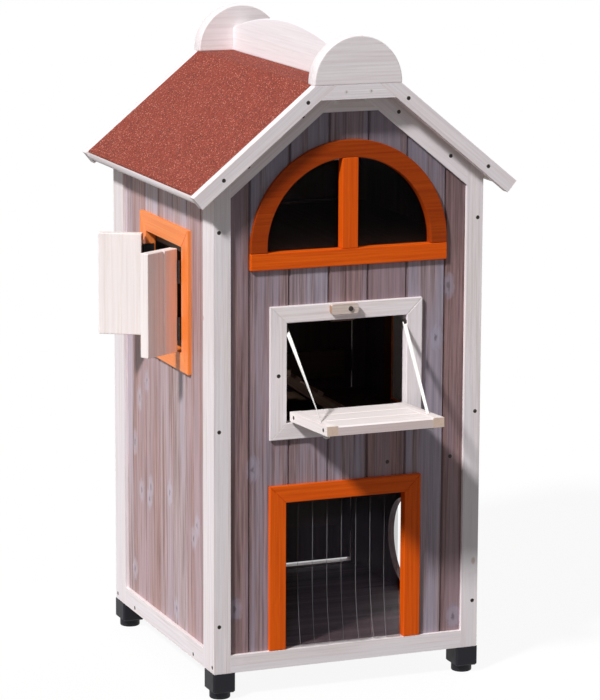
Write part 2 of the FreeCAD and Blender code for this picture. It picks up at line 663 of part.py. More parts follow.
def shutter(window_height, hinge_y, towards):
    half = WINDOW_OPENING / 2 - SHUTTER_END_GAP
    edge = hinge_y + towards * HINGE_GAP / 2
    joint = edge + towards * SHUTTER_FIRST_BOARD
    free = edge + towards * SHUTTER_WIDTH
    inside = RIGHT - SHUTTER_THICK
    outline = [
        (inside, edge), (RIGHT, edge), (RIGHT, joint - towards * V_DEPTH), (RIGHT - V_DEPTH, joint),
        (RIGHT, joint + towards * V_DEPTH), (RIGHT, free), (inside, free),
    ]
    corners = [Vector(x, y, window_height - half) for x, y in outline]
    leaf = Part.Face(Part.makePolygon(corners + corners[:1])).extrude(Vector(0, 0, 2 * half))
    fixed, moving = [], []
    for offset in (-SHUTTER_HINGE_SPACING / 2, SHUTTER_HINGE_SPACING / 2):
        centre = Vector(pin_x, hinge_y, window_height + offset)
        pair = butt_hinge(centre, Vector(-1, 0, 0), Vector(0, -towards, 0), Vector(0, 0, towards))
        fixed.append(pair[0])
        moving.append(pair[1])
    return leaf, fixed, moving


for name, hinge_y, towards in (
    ("front", window_y0 + HINGE_GAP / 2, 1),
    ("back", window_y1 - HINGE_GAP / 2, -1),
):
    leaf, fixed, moving = shutter(RIGHT_WINDOW_HEIGHT, hinge_y, towards)
    hinge_leaves += fixed
    save(f"right_shutter_{name}", leaf)
    save(f"right_shutter_{name}_hinges", *moving)
    leaf, fixed, moving = shutter(LEFT_WINDOW_HEIGHT, hinge_y, towards)
    hinge_leaves += [mirrored(piece) for piece in fixed]
    pin = Vector(-pin_x, hinge_y, 0)
    swing = Vector(0, 0, towards)
    opened = [turned(mirrored(piece), pin, swing, SHUTTER_REST_ANGLE) for piece in [leaf, *moving]]
    save(f"left_shutter_{name}", opened[0])
    save(f"left_shutter_{name}_hinges", *opened[1:])

# Back wall: posts, bottom rail, lintel over the door, and the boarded gable
back_rail = slab(-POST_INNER, POST_INNER, INNER_Y, BACK, 0, RAIL_HEIGHT)
door_top = slope_height(POST_INNER, ROOF_THICK + GABLE_RAIL_WIDTH) - DOOR_HEAD_DROP
lintel_base = door_top + DOOR_EDGE_GAP
lintel_top = lintel_base + LINTEL_HEIGHT
lintel = slab(-POST_INNER, POST_INNER, INNER_Y, BACK, lintel_base, lintel_top)
lintel = lintel.common(gable_region(0, INNER_Y, BACK))
back_gable = [*gable_rails(INNER_Y, BACK), top_rail(INNER_Y, BACK)]
save("back_frame", *gable_posts(INNER_Y, BACK), back_rail, lintel, *back_gable)
back_region = gable_region(lintel_base, INNER_Y, BODY_BACK)
back_boards = board_wall(lambda u, v, w: Vector(u, BODY_BACK - v, w), back_region, [lintel])
save("back_gable_boards", *back_boards)

# Back door: boards on three ledges, hinged to the right-hand post
door_left = DOOR_EDGE_GAP - POST_INNER
door_right = POST_INNER - HINGE_GAP
door_base = RAIL_HEIGHT + DOOR_FOOT_GAP
door_region = slab(door_left, door_right, INNER_Y, BODY_BACK, door_base, door_top)
save("back_door_boards", *board_wall(lambda u, v, w: Vector(u, BODY_BACK - v, w), door_region, []))
ledge_step = (door_top - door_base - LEDGE_HEIGHT - 2 * LEDGE_MARGIN) / (LEDGE_COUNT - 1)
ledges = []
for index in range(LEDGE_COUNT):
    low = door_base + LEDGE_MARGIN + index * ledge_step
    ledges.append(slab(door_left + LEDGE_INSET, door_right - LEDGE_INSET,
                       INNER_Y - LEDGE_THICK, INNER_Y, low, low + LEDGE_HEIGHT))
save("back_door_ledges", *ledges)
door_leaves = []
for step in (-1, 0, 1):
    height = (door_base + door_top) / 2 + step * DOOR_HINGE_SPACING
    centre = Vector(POST_INNER - HINGE_GAP / 2, BACK + HINGE_PIN_PROUD, height)
    fixed, moving = butt_hinge(centre, Vector(0, -1, 0), Vector(1, 0, 0), Vector(0, 0, 1))
    hinge_leaves.append(fixed)
    door_leaves.append(moving)
save("back_door_hinges", *door_leaves)

# Flap: boards between two end cleats, drawn shut and then dropped onto its cords
flap_pin = Vector(OPENING_CENTRE, FRONT - HINGE_PIN_PROUD, flap_z0 + HINGE_GAP / 2)
flap_drop = 90.0 - FLAP_REST_TILT
flap_left = flap_x0 + FLAP_SIDE_GAP
flap_right = flap_x1 - FLAP_SIDE_GAP
flap_low = flap_z0 + HINGE_GAP
flap_high = flap_z1 - FLAP_TOP_GAP
flap_width = (flap_high - flap_low) / FLAP_BOARDS


def dropped(shape):
    return turned(shape, flap_pin, Vector(1, 0, 0), flap_drop)


def flap_point(x, out, up):
    point = dropped(Part.Vertex(x, FRONT + out, flap_z0 + up)).Point
    return Vector(point.x, point.y, point.z)


def flap_board(index):
    low = flap_low + index * flap_width
    high = low + flap_width
    back = FRONT + FLAP_THICK
    outline = [
        (FRONT, low), (back - V_DEPTH, low), (back, low + V_DEPTH),
        (back, high - V_DEPTH), (back - V_DEPTH, high), (FRONT, high),
    ]
    return plate_yz(outline, flap_left + FLAP_CLEAT_WIDTH, flap_right - FLAP_CLEAT_WIDTH)


# Cords: straight from an anchor on each reveal, through a slanting hole in the cleat to a knot
def cord_pieces(side):
    reveal = flap_x0 if side < 0 else flap_x1
    edge = flap_left if side < 0 else flap_right
    anchor = Vector(reveal, FRONT + CORD_ANCHOR_DEPTH, flap_z1 - CORD_ANCHOR_DROP)
    start = anchor + Vector(-side * (CORD_DIAMETER / 2 + CORD_REVEAL_GAP), 0, 0)
    through = flap_point(edge - side * CORD_FLAP_INSET, FLAP_THICK / 2, CORD_FLAP_REACH)
    way = (through - start).normalize()
    slant = abs(way.dot(flap_point(0, 1, 0) - flap_point(0, 0, 0)))
    knot_centre = through + way * ((FLAP_THICK / 2 + KNOT_RADIUS + KNOT_GAP) / slant)
    bore_radius = CORD_DIAMETER / 2 + CORD_HOLE_PLAY
    bore = Part.makeCylinder(bore_radius, 4 * FLAP_THICK, through - way * 2 * FLAP_THICK, way)
    cord = Part.makeCylinder(CORD_DIAMETER / 2, (knot_centre - start).Length, start, way)
    washer = Part.makeCylinder(ANCHOR_RADIUS, ANCHOR_THICK, anchor, Vector(-side, 0, 0))
    boss = Part.makeCylinder(ANCHOR_RADIUS, 2 * CORD_DIAMETER, anchor, Vector(-side, 0, 0))
    cord = cord.cut(boss).fuse(Part.makeSphere(KNOT_RADIUS, knot_centre))
    return cord, washer, bore


left_cord, left_anchor, left_bore = cord_pieces(-1)
right_cord, right_anchor, right_bore = cord_pieces(1)
flap_back = FRONT + FLAP_THICK
left_cleat = slab(flap_left, flap_left + FLAP_CLEAT_WIDTH, FRONT, flap_back, flap_low, flap_high)
right_cleat = slab(flap_right - FLAP_CLEAT_WIDTH, flap_right, FRONT, flap_back, flap_low, flap_high)
cleat_holes = []
cleat_screws = []
for edge, way in ((flap_left, Vector(1, 0, 0)), (flap_right, Vector(-1, 0, 0))):
    for z in (flap_low + CLEAT_SCREW_MARGIN, flap_high - CLEAT_SCREW_MARGIN):
        hole, body = screw(Vector(edge, (FRONT + flap_back) / 2, z), way)
        cleat_holes.append(hole)
        cleat_screws.append(dropped(body))
boards = [flap_board(index).cut(cleat_holes) for index in range(FLAP_BOARDS)]
save("flap_boards", *[dropped(board) for board in boards])
left_cleat = dropped(left_cleat.cut(cleat_holes)).cut(left_bore)
right_cleat = dropped(right_cleat.cut(cleat_holes)).cut(right_bore)
save("flap_cleats", left_cleat, right_cleat)
save("flap_screws", *cleat_screws)
save("flap_cord_left", left_cord)
save("flap_cord_right", right_cord)
flap_leaves = []
for side in (-1, 1):
    centre = flap_pin + Vector(side * FLAP_HINGE_SPACING / 2, 0, 0)
    fixed, moving = butt_hinge(centre, Vector(0, 1, 0), Vector(0, 0, -1), Vector(-1, 0, 0))
    hinge_leaves.append(fixed)
    flap_leaves.append(dropped(moving))
save("flap_hinges", *flap_leaves)
save("hinge_leaves", *hinge_leaves)

# Turn buttons on their pivot screws: level over the flap, upright beside the back door
flap_button_place = Vector(OPENING_CENTRE + FLAP_BUTTON_OFFSET, FRONT, flap_z1 + FLAP_BUTTON_RISE)
door_button_place = Vector(-(POST_INNER + POST_WIDTH / 2), BACK, DOOR_BUTTON_HEIGHT)
gap = Vector(0, -BUTTON_GAP, 0)
flap_button = turn_button()
flap_button.translate(flap_button_place + gap)
flap_pivot = pivot_screw()
flap_pivot.translate(flap_button_place)
origin = Vector(0, 0, 0)
door_button = turned(turn_button(), origin, Vector(0, 0, 1), 180)
door_button = turned(door_button, origin, Vector(0, 1, 0), -90)
door_button.translate(door_button_place - gap)
door_pivot = turned(pivot_screw(), origin, Vector(0, 0, 1), 180)
door_pivot.translate(door_button_place)
save("flap_button", flap_button)
save("door_button", door_button)
save("screws", flap_pivot, door_pivot, left_anchor, right_anchor)

# Strip curtain: strips hemmed round a rod, which hangs in two ears on a batten behind the head
rod_y = front_inner + CURTAIN_ROD_STANDOFF
batten_base = DOORWAY_TOP + CURTAIN_BATTEN_LIFT
batten_half = (CURTAIN_WIDTH + 2 * CURTAIN_HEM_RADIUS) / 2
batten_back = front_inner + CURTAIN_BATTEN_THICK
batten_top = batten_base + CURTAIN_BATTEN_HEIGHT
curtain_x = OPENING_CENTRE
save("curtain_batten", slab(curtain_x - batten_half, curtain_x + batten_half,
                            front_inner, batten_back, batten_base, batten_top))
rod_start = Vector(curtain_x - batten_half - CURTAIN_EAR_THICK, rod_y, DOORWAY_TOP)
rod_length = 2 * (batten_half + CURTAIN_EAR_THICK)
rod = Part.makeCylinder(CURTAIN_ROD_RADIUS, rod_length, rod_start, Vector(1, 0, 0))
ear_low = DOORWAY_TOP - CURTAIN_HEM_RADIUS
ear_start = curtain_x - batten_half - CURTAIN_EAR_THICK
left_ear = slab(ear_start, ear_start + CURTAIN_EAR_THICK, front_inner, batten_back, ear_low, batten_top)
right_ear = left_ear.copy()
right_ear.translate(Vector(2 * batten_half + CURTAIN_EAR_THICK, 0, 0))
save("curtain_rod", rod.fuse([left_ear, right_ear]))


# Each strip hangs straight from its hem and bows out over the bottom rail in an arc at its foot
bow_radius = (CURTAIN_BOW_HEIGHT ** 2 + CURTAIN_BOW ** 2) / (2 * CURTAIN_BOW)
bow_angle = math.asin(CURTAIN_BOW_HEIGHT / bow_radius)
bow_start = RAIL_HEIGHT + CURTAIN_FLOOR_GAP + CURTAIN_BOW_HEIGHT


def bow_point(x, offset, share):
    angle = share * bow_angle
    radius = bow_radius + offset
    return Vector(x, rod_y - bow_radius + radius * math.cos(angle), bow_start - radius * math.sin(angle))


def curtain_strip(index):
    pitch = CURTAIN_WIDTH / CURTAIN_STRIPS
    x0 = curtain_x - CURTAIN_WIDTH / 2 + index * pitch + CURTAIN_STRIP_GAP / 2
    width = pitch - CURTAIN_STRIP_GAP
    axis = Vector(1, 0, 0)
    start = Vector(x0, rod_y, DOORWAY_TOP)
    hem = Part.makeCylinder(CURTAIN_HEM_RADIUS, width, start, axis)
    bore = Part.makeCylinder(CURTAIN_ROD_RADIUS + CURTAIN_HEM_PLAY, width, start, axis)
    half = CURTAIN_THICK / 2
    front, back = [[bow_point(x0, side * half, share) for share in (0, 0.5, 1)] for side in (-1, 1)]
    top_front = Vector(x0, rod_y - half, DOORWAY_TOP)
    top_back = Vector(x0, rod_y + half, DOORWAY_TOP)
    upper = Part.makePolygon([front[0], top_front, top_back, back[0]])
    foot = Part.makeLine(back[2], front[2])
    edges = upper.Edges + [Part.Arc(*back).toShape(), foot, Part.Arc(*front[::-1]).toShape()]
    sheet = Part.Face(Part.Wire(edges)).extrude(Vector(width, 0, 0))
    return hem.fuse(sheet).cut(bore)


save("strip_curtain", *[curtain_strip(index) for index in range(CURTAIN_STRIPS)])


# Floors on side bearers, clear of the back door's ledges, a platform under the left window and a
# ramp up to it
def floor(top):
    return slab(-INNER_X, INNER_X, -INNER_Y, FLOOR_BACK, top - FLOOR_THICK, top)


def bearer(top, side):
    high = top - FLOOR_THICK
    x0, x1 = (-INNER_X, BEARER - INNER_X) if side < 0 else (INNER_X - BEARER, INNER_X)
    return slab(x0, x1, -INNER_Y, FLOOR_BACK, high - BEARER, high)


platform_edge = PLATFORM_WIDTH - INNER_X
hatch = slab(-INNER_X, HATCH_WIDTH - INNER_X, -HATCH_LENGTH / 2, HATCH_LENGTH / 2, 0, LOFT_TOP)
save("ground_floor", floor(RAIL_HEIGHT))
save("middle_floor", floor(MIDDLE_FLOOR_TOP))
platform_under = PLATFORM_TOP - FLOOR_THICK
save("side_platform", slab(-INNER_X, platform_edge, -INNER_Y, FLOOR_BACK, platform_under, PLATFORM_TOP))
save("loft_floor", floor(LOFT_TOP).cut(hatch))
bearers = [bearer(top, side) for top in (MIDDLE_FLOOR_TOP, LOFT_TOP) for side in (-1, 1)]
bearers += [bearer(RAIL_HEIGHT, side) for side in (-1, 1)]
front_bearer_top = MIDDLE_FLOOR_TOP - FLOOR_THICK
front_bearer = slab(BEARER - INNER_X, INNER_X - BEARER, -INNER_Y, BEARER - INNER_Y,
                    front_bearer_top - FRONT_BEARER_HEIGHT, front_bearer_top)
save("floor_bearers", *bearers, bearer(PLATFORM_TOP, -1), front_bearer)

ramp_rise = PLATFORM_TOP - MIDDLE_FLOOR_TOP
ramp_run = RAMP_FOOT_X - platform_edge
ramp_angle = math.atan2(ramp_rise, ramp_run)
ramp_drop = RAMP_THICK / math.cos(ramp_angle)
ramp_outline = [
    (RAMP_FOOT_X, MIDDLE_FLOOR_TOP),
    (platform_edge, PLATFORM_TOP),
    (platform_edge, PLATFORM_TOP - ramp_drop),
    (RAMP_FOOT_X - ramp_drop / math.tan(ramp_angle), MIDDLE_FLOOR_TOP),
]
ramp_y1 = RAMP_FRONT_Y + RAMP_WIDTH
slats = []
for index in range(RAMP_SLATS):
    share = (index + 0.5) / RAMP_SLATS
    x = RAMP_FOOT_X - share * ramp_run
    z = MIDDLE_FLOOR_TOP + share * ramp_rise
    slat = slab(x, x + RAMP_SLAT_WIDTH, RAMP_FRONT_Y, ramp_y1, z, z + RAMP_SLAT_THICK)
    slats.append(turned(slat, Vector(x, 0, z), Vector(0, 1, 0), math.degrees(ramp_angle)))
save("ramp", plate_xz(ramp_outline, RAMP_FRONT_Y, ramp_y1), *slats)

# Roof: two sloping panels and a flat ridge deck, felted over
ridge_top = ridge_corner(FELT_THICK)
ridge_under = ridge_corner(ROOF_THICK)
panel_outline = [
    ridge_top, eave_corner(FELT_THICK, EAVE_STRIP_THICK),
    eave_corner(ROOF_THICK, EAVE_STRIP_THICK), ridge_under,
]
right_panel = plate_xz(panel_outline, ROOF_FRONT, ROOF_BACK)
strip_outline = [
    eave_corner(FELT_THICK, EAVE_STRIP_THICK), eave_corner(FELT_THICK),
    eave_corner(ROOF_THICK), eave_corner(ROOF_THICK, EAVE_STRIP_THICK),
]
right_strip = plate_xz(strip_outline, ROOF_FRONT, ROOF_BACK)
deck_outline = [ridge_top, ridge_under, (-ridge_under[0], ridge_under[1]), (-ridge_top[0], ridge_top[1])]
felt_top = [ridge_corner(0), eave_corner(0)]
felt_under = [eave_corner(FELT_THICK), ridge_top]
felt_outline = felt_top + felt_under + [(-x, z) for x, z in felt_under[::-1] + felt_top[::-1]]
save("roof_panels", mirrored(right_panel), right_panel)
save("ridge_deck", plate_xz(deck_outline, ROOF_FRONT, ROOF_BACK))
save("roof_felt", plate_xz(felt_outline, ROOF_FRONT, ROOF_BACK))
save("eave_strips", mirrored(right_strip), right_strip)

# Roof battens behind the gable rails, mitred under the corners of the ridge
batten_depth = ROOF_THICK + ROOF_BATTEN_WIDTH
batten_ridge = [ridge_corner(ROOF_THICK), ridge_corner(batten_depth)]
batten_foot = [(INNER_X, slope_height(INNER_X, depth)) for depth in (batten_depth, ROOF_THICK)]
flat_outline = batten_ridge + [(-x, z) for x, z in batten_ridge[::-1]]
roof_battens = []
for y0 in (-INNER_Y, INNER_Y - ROOF_BATTEN_THICK):
    sloping = plate_xz(batten_ridge + batten_foot, y0, y0 + ROOF_BATTEN_THICK)
    roof_battens += [mirrored(sloping), sloping, plate_xz(flat_outline, y0, y0 + ROOF_BATTEN_THICK)]
save("roof_battens", *roof_battens)

# Verges: bargeboards cut flat at the top, with a filler between each pair
barge_top = slope_reach(RIDGE_HEIGHT, BARGE_WIDTH)
barge_outline = [ridge_corner(0), eave_corner(0), eave_corner(BARGE_WIDTH), (barge_top, RIDGE_HEIGHT)]
filler_low = RIDGE_HEIGHT - FILLER_HEIGHT
filler_x = slope_reach(filler_low, BARGE_WIDTH)
filler_outline = [
    (-barge_top, RIDGE_HEIGHT), (barge_top, RIDGE_HEIGHT), (filler_x, filler_low), (-filler_x, filler_low),
]
verges = {"front": (-VERGE_REACH, ROOF_FRONT), "back": (ROOF_BACK, VERGE_REACH)}
for name, (y0, y1) in verges.items():
    right_barge = plate_xz(barge_outline, y0, y1)
    save(f"{name}_bargeboards", mirrored(right_barge), right_barge)
save("gable_fillers", *[plate_xz(filler_outline, y0, y1) for y0, y1 in verges.values()])

# Ridge: a half-disc over each gable and an arched board between them
def half_disc(y0):
    centre = Vector(0, y0, RIDGE_HEIGHT + DISC_RISE)
    disc = Part.makeCylinder(DISC_RADIUS, DISC_THICK, centre, Vector(0, 1, 0))
    above = slab(-DISC_RADIUS, DISC_RADIUS, y0, y0 + DISC_THICK, RIDGE_HEIGHT, RIDGE_HEIGHT + 2 * DISC_RADIUS)
    return disc.common(above)


save("ridge_discs", half_disc(-VERGE_REACH), half_disc(VERGE_REACH - DISC_THICK))
board_y0 = DISC_THICK - VERGE_REACH
board_y1 = VERGE_REACH - DISC_THICK
half_thick = RIDGE_BOARD_THICK / 2
board_end = RIDGE_HEIGHT + RIDGE_BOARD_END_HEIGHT
arc = Part.Arc(
    Vector(-half_thick, board_y1, board_end),
    Vector(-half_thick, (board_y0 + board_y1) / 2, RIDGE_HEIGHT + RIDGE_BOARD_TOP_HEIGHT),
    Vector(-half_thick, board_y0, board_end),
)
base_line = Part.makePolygon([
    Vector(-half_thick, board_y0, board_end), Vector(-half_thick, board_y0, RIDGE_HEIGHT),
    Vector(-half_thick, board_y1, RIDGE_HEIGHT), Vector(-half_thick, board_y1, board_end),
])
board_wire = Part.Wire(base_line.Edges + [arc.toShape()])
save("arched_ridge_board", Part.Face(board_wire).extrude(Vector(RIDGE_BOARD_THICK, 0, 0)))
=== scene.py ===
import json
import math
import random

import bmesh
import bpy
from mathutils import Matrix, Vector
from mathutils.kdtree import KDTree

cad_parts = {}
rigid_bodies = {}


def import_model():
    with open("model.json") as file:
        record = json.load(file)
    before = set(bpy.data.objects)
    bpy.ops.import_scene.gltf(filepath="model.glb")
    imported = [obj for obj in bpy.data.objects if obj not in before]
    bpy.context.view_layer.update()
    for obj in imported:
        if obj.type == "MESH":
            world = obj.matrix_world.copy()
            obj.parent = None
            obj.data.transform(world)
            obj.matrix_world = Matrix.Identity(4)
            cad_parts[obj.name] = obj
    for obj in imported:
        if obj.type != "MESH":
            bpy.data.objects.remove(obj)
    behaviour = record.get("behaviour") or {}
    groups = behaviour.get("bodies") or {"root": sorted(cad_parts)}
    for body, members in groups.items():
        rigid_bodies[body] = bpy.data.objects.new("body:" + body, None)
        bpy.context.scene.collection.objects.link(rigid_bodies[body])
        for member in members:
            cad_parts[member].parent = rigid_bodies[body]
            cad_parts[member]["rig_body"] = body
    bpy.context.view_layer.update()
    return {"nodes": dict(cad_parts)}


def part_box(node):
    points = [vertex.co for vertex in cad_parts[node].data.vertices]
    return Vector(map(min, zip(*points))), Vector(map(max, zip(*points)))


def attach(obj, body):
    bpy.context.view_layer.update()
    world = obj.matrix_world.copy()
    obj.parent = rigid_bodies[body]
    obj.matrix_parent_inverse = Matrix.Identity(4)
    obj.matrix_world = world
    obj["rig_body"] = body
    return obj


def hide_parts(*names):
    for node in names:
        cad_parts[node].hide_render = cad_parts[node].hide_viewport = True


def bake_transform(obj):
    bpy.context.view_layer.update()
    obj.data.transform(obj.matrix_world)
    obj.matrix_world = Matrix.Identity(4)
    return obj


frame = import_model()


# Feet: four moulded blocks of black plastic, each on a round pad, screwed up under the corners.
# The mould leaves a fine satin grain all over, a little shinier where the sides have been handled.
class Shade:
    """A node's output. Operators add Math nodes, and add() any other node of the same tree."""

    def __init__(self, tree, socket=None):
        self.tree = tree
        self.socket = socket

    def add(self, kind, settings, sockets, output=0):
        node = self.tree.nodes.new(kind)
        for name, value in settings.items():
            setattr(node, name, value)
        for key, value in sockets.items():
            if isinstance(value, Shade):
                self.tree.links.new(value.socket, node.inputs[key])
            else:
                node.inputs[key].default_value = value
        return Shade(self.tree, node.outputs[output])

    def other(self, output):
        return Shade(self.tree, self.socket.node.outputs[output])

    def maths(self, operation, first, second):
        return self.add("ShaderNodeMath", {"operation": operation}, {0: first, 1: second})

    def __add__(self, value):
        return self.maths("ADD", self, value)

    def __sub__(self, value):
        return self.maths("SUBTRACT", self, value)

    def __rsub__(self, value):
        return self.maths("SUBTRACT", value, self)

    def __mul__(self, value):
        return self.maths("MULTIPLY", self, value)

    def __pow__(self, value):
        return self.maths("POWER", self, value)

    __radd__ = __add__
    __rmul__ = __mul__


def new_finish(name, **constants):
    material = bpy.data.materials.new(name)
    material.use_nodes = True
    shader = material.node_tree.nodes["Principled BSDF"]
    for key, value in constants.items():
        shader.inputs[key.replace("_", " ")].default_value = value
    return material, shader, Shade(material.node_tree)


def feed(shader, socket, value):
    value.tree.links.new(value.socket, shader.inputs[socket])


def noise(vector, scale, detail=2.0, roughness=0.5):
    sockets = {"Vector": vector, "Scale": scale, "Detail": detail, "Roughness": roughness}
    return vector.add("ShaderNodeTexNoise", {}, sockets)


def stretched(vector, x, y, z):
    return vector.add("ShaderNodeVectorMath", {"operation": "MULTIPLY"}, {0: vector, 1: (x, y, z)})


def mixed(factor, first, second, blend="MIX"):
    settings = {"data_type": "RGBA", "blend_type": blend}
    return factor.add("ShaderNodeMix", settings, {0: factor, 6: first, 7: second}, 2)


def fade(value, start, stop):
    """1 where the value is under start, 0 above stop, smooth between."""
    settings = {"interpolation_type": "SMOOTHSTEP"}
    sockets = {"Value": value, "From Min": start, "From Max": stop, "To Min": 1.0, "To Max": 0.0}
    return value.add("ShaderNodeMapRange", settings, sockets)


def bumped(shader, height, distance, strength=1.0):
    sockets = {"Height": height, "Distance": distance, "Strength": strength}
    feed(shader, "Normal", height.add("ShaderNodeBump", {}, sockets))


def object_place(start):
    return start.add("ShaderNodeTexCoord", {}, {}, "Object")


def show(node, material):
    piece = frame["nodes"][node]
    piece.data.materials.clear()
    piece.data.materials.append(material)


def moulded_plastic():
    material, shader, start = new_finish("moulded_black_plastic", Specular_IOR_Level=0.25)
    place = object_place(start)
    grain = noise(place, 900.0, 2.0)
    cloud = noise(place, 40.0, 3.0)
    feed(shader, "Base Color", mixed(cloud, (0.006, 0.006, 0.009, 1), (0.012, 0.012, 0.017, 1)))
    feed(shader, "Roughness", 0.42 + 0.22 * cloud)
    bumped(shader, grain, 0.0002, 0.6)
    return material


show("feet", moulded_plastic())


# Front frame: planed battens, two posts, a bottom rail and the rails under the roof, butted and
# screwed together, with a thin white glaze through which the grain still shows.
FRAME_EASE = 0.0015
SAME_PLACE = 2e-6
FLAT_ANGLE = 0.01
SHARP_ANGLE = 1.0
PITH_ALONG = 9.0
PITH_ACROSS = 0.05
PITH_DEPTH = (0.02, 0.09)


def face_groups(mesh):
    """The numbers of the faces of each closed solid, in the order in which the solids come."""
    tree = KDTree(len(mesh.verts))
    for vert in mesh.verts:
        tree.insert(vert.co, vert.index)
    tree.balance()
    same = [min(index for _, index, _ in tree.find_range(vert.co, SAME_PLACE)) for vert in mesh.verts]
    groups, group, open_edges = [], set(), set()
    for face in mesh.faces:
        corners = [same[vert.index] for vert in face.verts]
        group.add(face.index)
        if len(set(corners)) == len(corners):
            open_edges ^= {frozenset(edge) for edge in zip(corners, corners[1:] + corners[:1])}
        if not open_edges:
            groups.append(group)
            group = set()
    return groups


def board_axes(board, along):
    """The grain's direction and the two across it, from the longest edge and the largest face."""
    if along is None:
        longest = max(board.edges, key=lambda edge: edge.calc_length())
        along = longest.verts[1].co - longest.verts[0].co
    along = Vector(along).normalized()
    flat = [face for face in board.faces if abs(face.normal.dot(along)) < 0.5]
    depth = max(flat, key=lambda face: face.calc_area()).normal.copy()
    across = depth.cross(along).normalized()
    return along, across, along.cross(across)


def trimmed(board, reach):
    """Saws a board off upright where it stands out further than the reach, on either side."""
    for side in (-1, 1):
        whole = board.verts[:] + board.edges[:] + board.faces[:]
        cut = bmesh.ops.bisect_plane(board, geom=whole, plane_co=(side * reach, 0, 0),
                                     plane_no=(side, 0, 0), clear_outer=True)
        rim = [one for one in cut["geom_cut"] if isinstance(one, bmesh.types.BMEdge)]
        if rim:
            bmesh.ops.contextual_create(board, geom=rim)


def timber(node, material, ease=0.0, along=None, reach=None):
    """A copy of a node's boards with eased edges, which carry their own grain in attributes."""
    draw = random.Random(f"{node} 1")
    source = frame["nodes"][node]
    whole = bmesh.new()
    whole.from_mesh(source.data)
    joined = bpy.data.meshes.new(node + "_timber")
    gathered = bmesh.new()
    for group in face_groups(whole):
        board = whole.copy()
        others = [face for face in board.faces if face.index not in group]
        bmesh.ops.delete(board, geom=others, context="FACES")
        bmesh.ops.remove_doubles(board, verts=board.verts, dist=SAME_PLACE)
        bmesh.ops.dissolve_limit(board, angle_limit=FLAT_ANGLE, verts=board.verts, edges=board.edges)
        axes = board_axes(board, along)
        if reach:
            trimmed(board, reach)
        if ease:
            sharp = [edge for edge in board.edges if edge.calc_face_angle_signed(0.0) > SHARP_ANGLE]
            bmesh.ops.bevel(board, geom=sharp, offset=ease, segments=2, profile=0.5, affect="EDGES",
                            clamp_overlap=True, material=-1)
        centre = sum((vert.co for vert in board.verts), Vector()) / len(board.verts)
        shift = Vector((draw.uniform(-PITH_ALONG, PITH_ALONG), draw.uniform(-PITH_ACROSS, PITH_ACROSS),
                        draw.uniform(*PITH_DEPTH)))
        tint = draw.random()
        grain = board.verts.layers.float_vector.new("grain")
        tone = board.verts.layers.float.new("board")
        for vert in board.verts:
            vert[grain] = Vector([(vert.co - centre).dot(axis) for axis in axes]) + shift
            vert[tone] = tint
        board.to_mesh(joined)
        gathered.from_mesh(joined)
        board.free()
    gathered.to_mesh(joined)
    gathered.free()
    whole.free()
    piece = bpy.data.objects.new(node + "_finished", joined)
    bpy.context.scene.collection.objects.link(piece)
    joined.materials.append(material)
    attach(piece, source["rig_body"])
    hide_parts(node)


room_low, room_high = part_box("ground_floor")
deck_low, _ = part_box("ridge_deck")
# Painted shade, multiplied over the faces inside the house.
INDOOR_PAINTED_SHADE = (0.10, 0.07, 0.065, 1)
# Painted shade of the roof's overhang, multiplied over boards high up under it.
EAVE_PAINTED_SHADE = (0.66, 0.67, 0.69, 1)
# Painted shade, multiplied over the slanting faces of V joints.
JOINT_PAINTED_SHADE = (0.52, 0.48, 0.48, 1)
WALL_SKIN = (0.0003, 0.0006)
KNOT_SWAY = 0.016
PLACED_CORE = (0.002, 0.006)
PLACED_HALO = (0.008, 0.020)
KNOT_CELL = (2.4, 11.0, 11.0)
SCATTERED_CORE = (0.003, 0.0065)
SCATTERED_HALO = (0.006, 0.026)
WOBBLE_SCALE = (1.1, 9.0, 9.0)
FIBRE_SCALE = (8.0, 400.0, 400.0)
LINE_SCALE = (4.0, 150.0, 150.0)
BAND_SCALE = (1.6, 30.0, 30.0)


def indoors(place):
    """1 on the faces that look into the house, where painted shade darkens the glaze."""
    axes = place.add("ShaderNodeSeparateXYZ", {}, {0: place})
    width = place.maths("ABSOLUTE", axes, 0.0) - room_high.x
    depth = place.maths("ABSOLUTE", axes.other("Y"), 0.0) + room_low.y
    height = axes.other("Z") - deck_low.z
    outermost = place.maths("MAXIMUM", place.maths("MAXIMUM", width, depth), height)
    return fade(outermost, *WALL_SKIN)


def length_of(vector):
    return vector.add("ShaderNodeVectorMath", {"operation": "LENGTH"}, {0: vector}, "Value")


def placed_knots(place, spots):
    """The cores and halos of knots at given spots, uneven and drawn out along the upright grain."""
    nearest = None
    sway = place.add("ShaderNodeTexNoise", {}, {"Vector": place, "Scale": 70.0, "Detail": 2.0}, "Color")
    shifted = place.add("ShaderNodeVectorMath", {"operation": "MULTIPLY_ADD"},
                        {0: sway, 1: (KNOT_SWAY, KNOT_SWAY, KNOT_SWAY), 2: place})
    for spot in spots:
        centre = tuple(value + KNOT_SWAY / 2 for value in spot)
        away = place.add("ShaderNodeVectorMath", {"operation": "SUBTRACT"}, {0: shifted, 1: centre})
        reach = length_of(stretched(away, 1, 1, 0.6))
        nearest = reach if nearest is None else place.maths("MINIMUM", nearest, reach)
    return fade(nearest, *PLACED_CORE), fade(nearest, *PLACED_HALO)


def scattered_knots(grain, share):
    """The cores and halos of knots in a share of the cells along the grain."""
    sockets = {"Vector": stretched(grain, *KNOT_CELL), "Scale": 1.0}
    cells = grain.add("ShaderNodeTexVoronoi", {}, sockets)
    spot = stretched(cells.other("Position"), *[1 / size for size in KNOT_CELL])
    away = grain.add("ShaderNodeVectorMath", {"operation": "SUBTRACT"}, {0: grain, 1: spot})
    reach = length_of(stretched(away, 0.6, 1.0, 0.25))
    chance = grain.add("ShaderNodeSeparateColor", {}, {"Color": cells.other("Color")})
    chosen = fade(chance, share, share + 0.01)
    return fade(reach, *SCATTERED_CORE) * chosen, fade(reach, *SCATTERED_HALO) * chosen


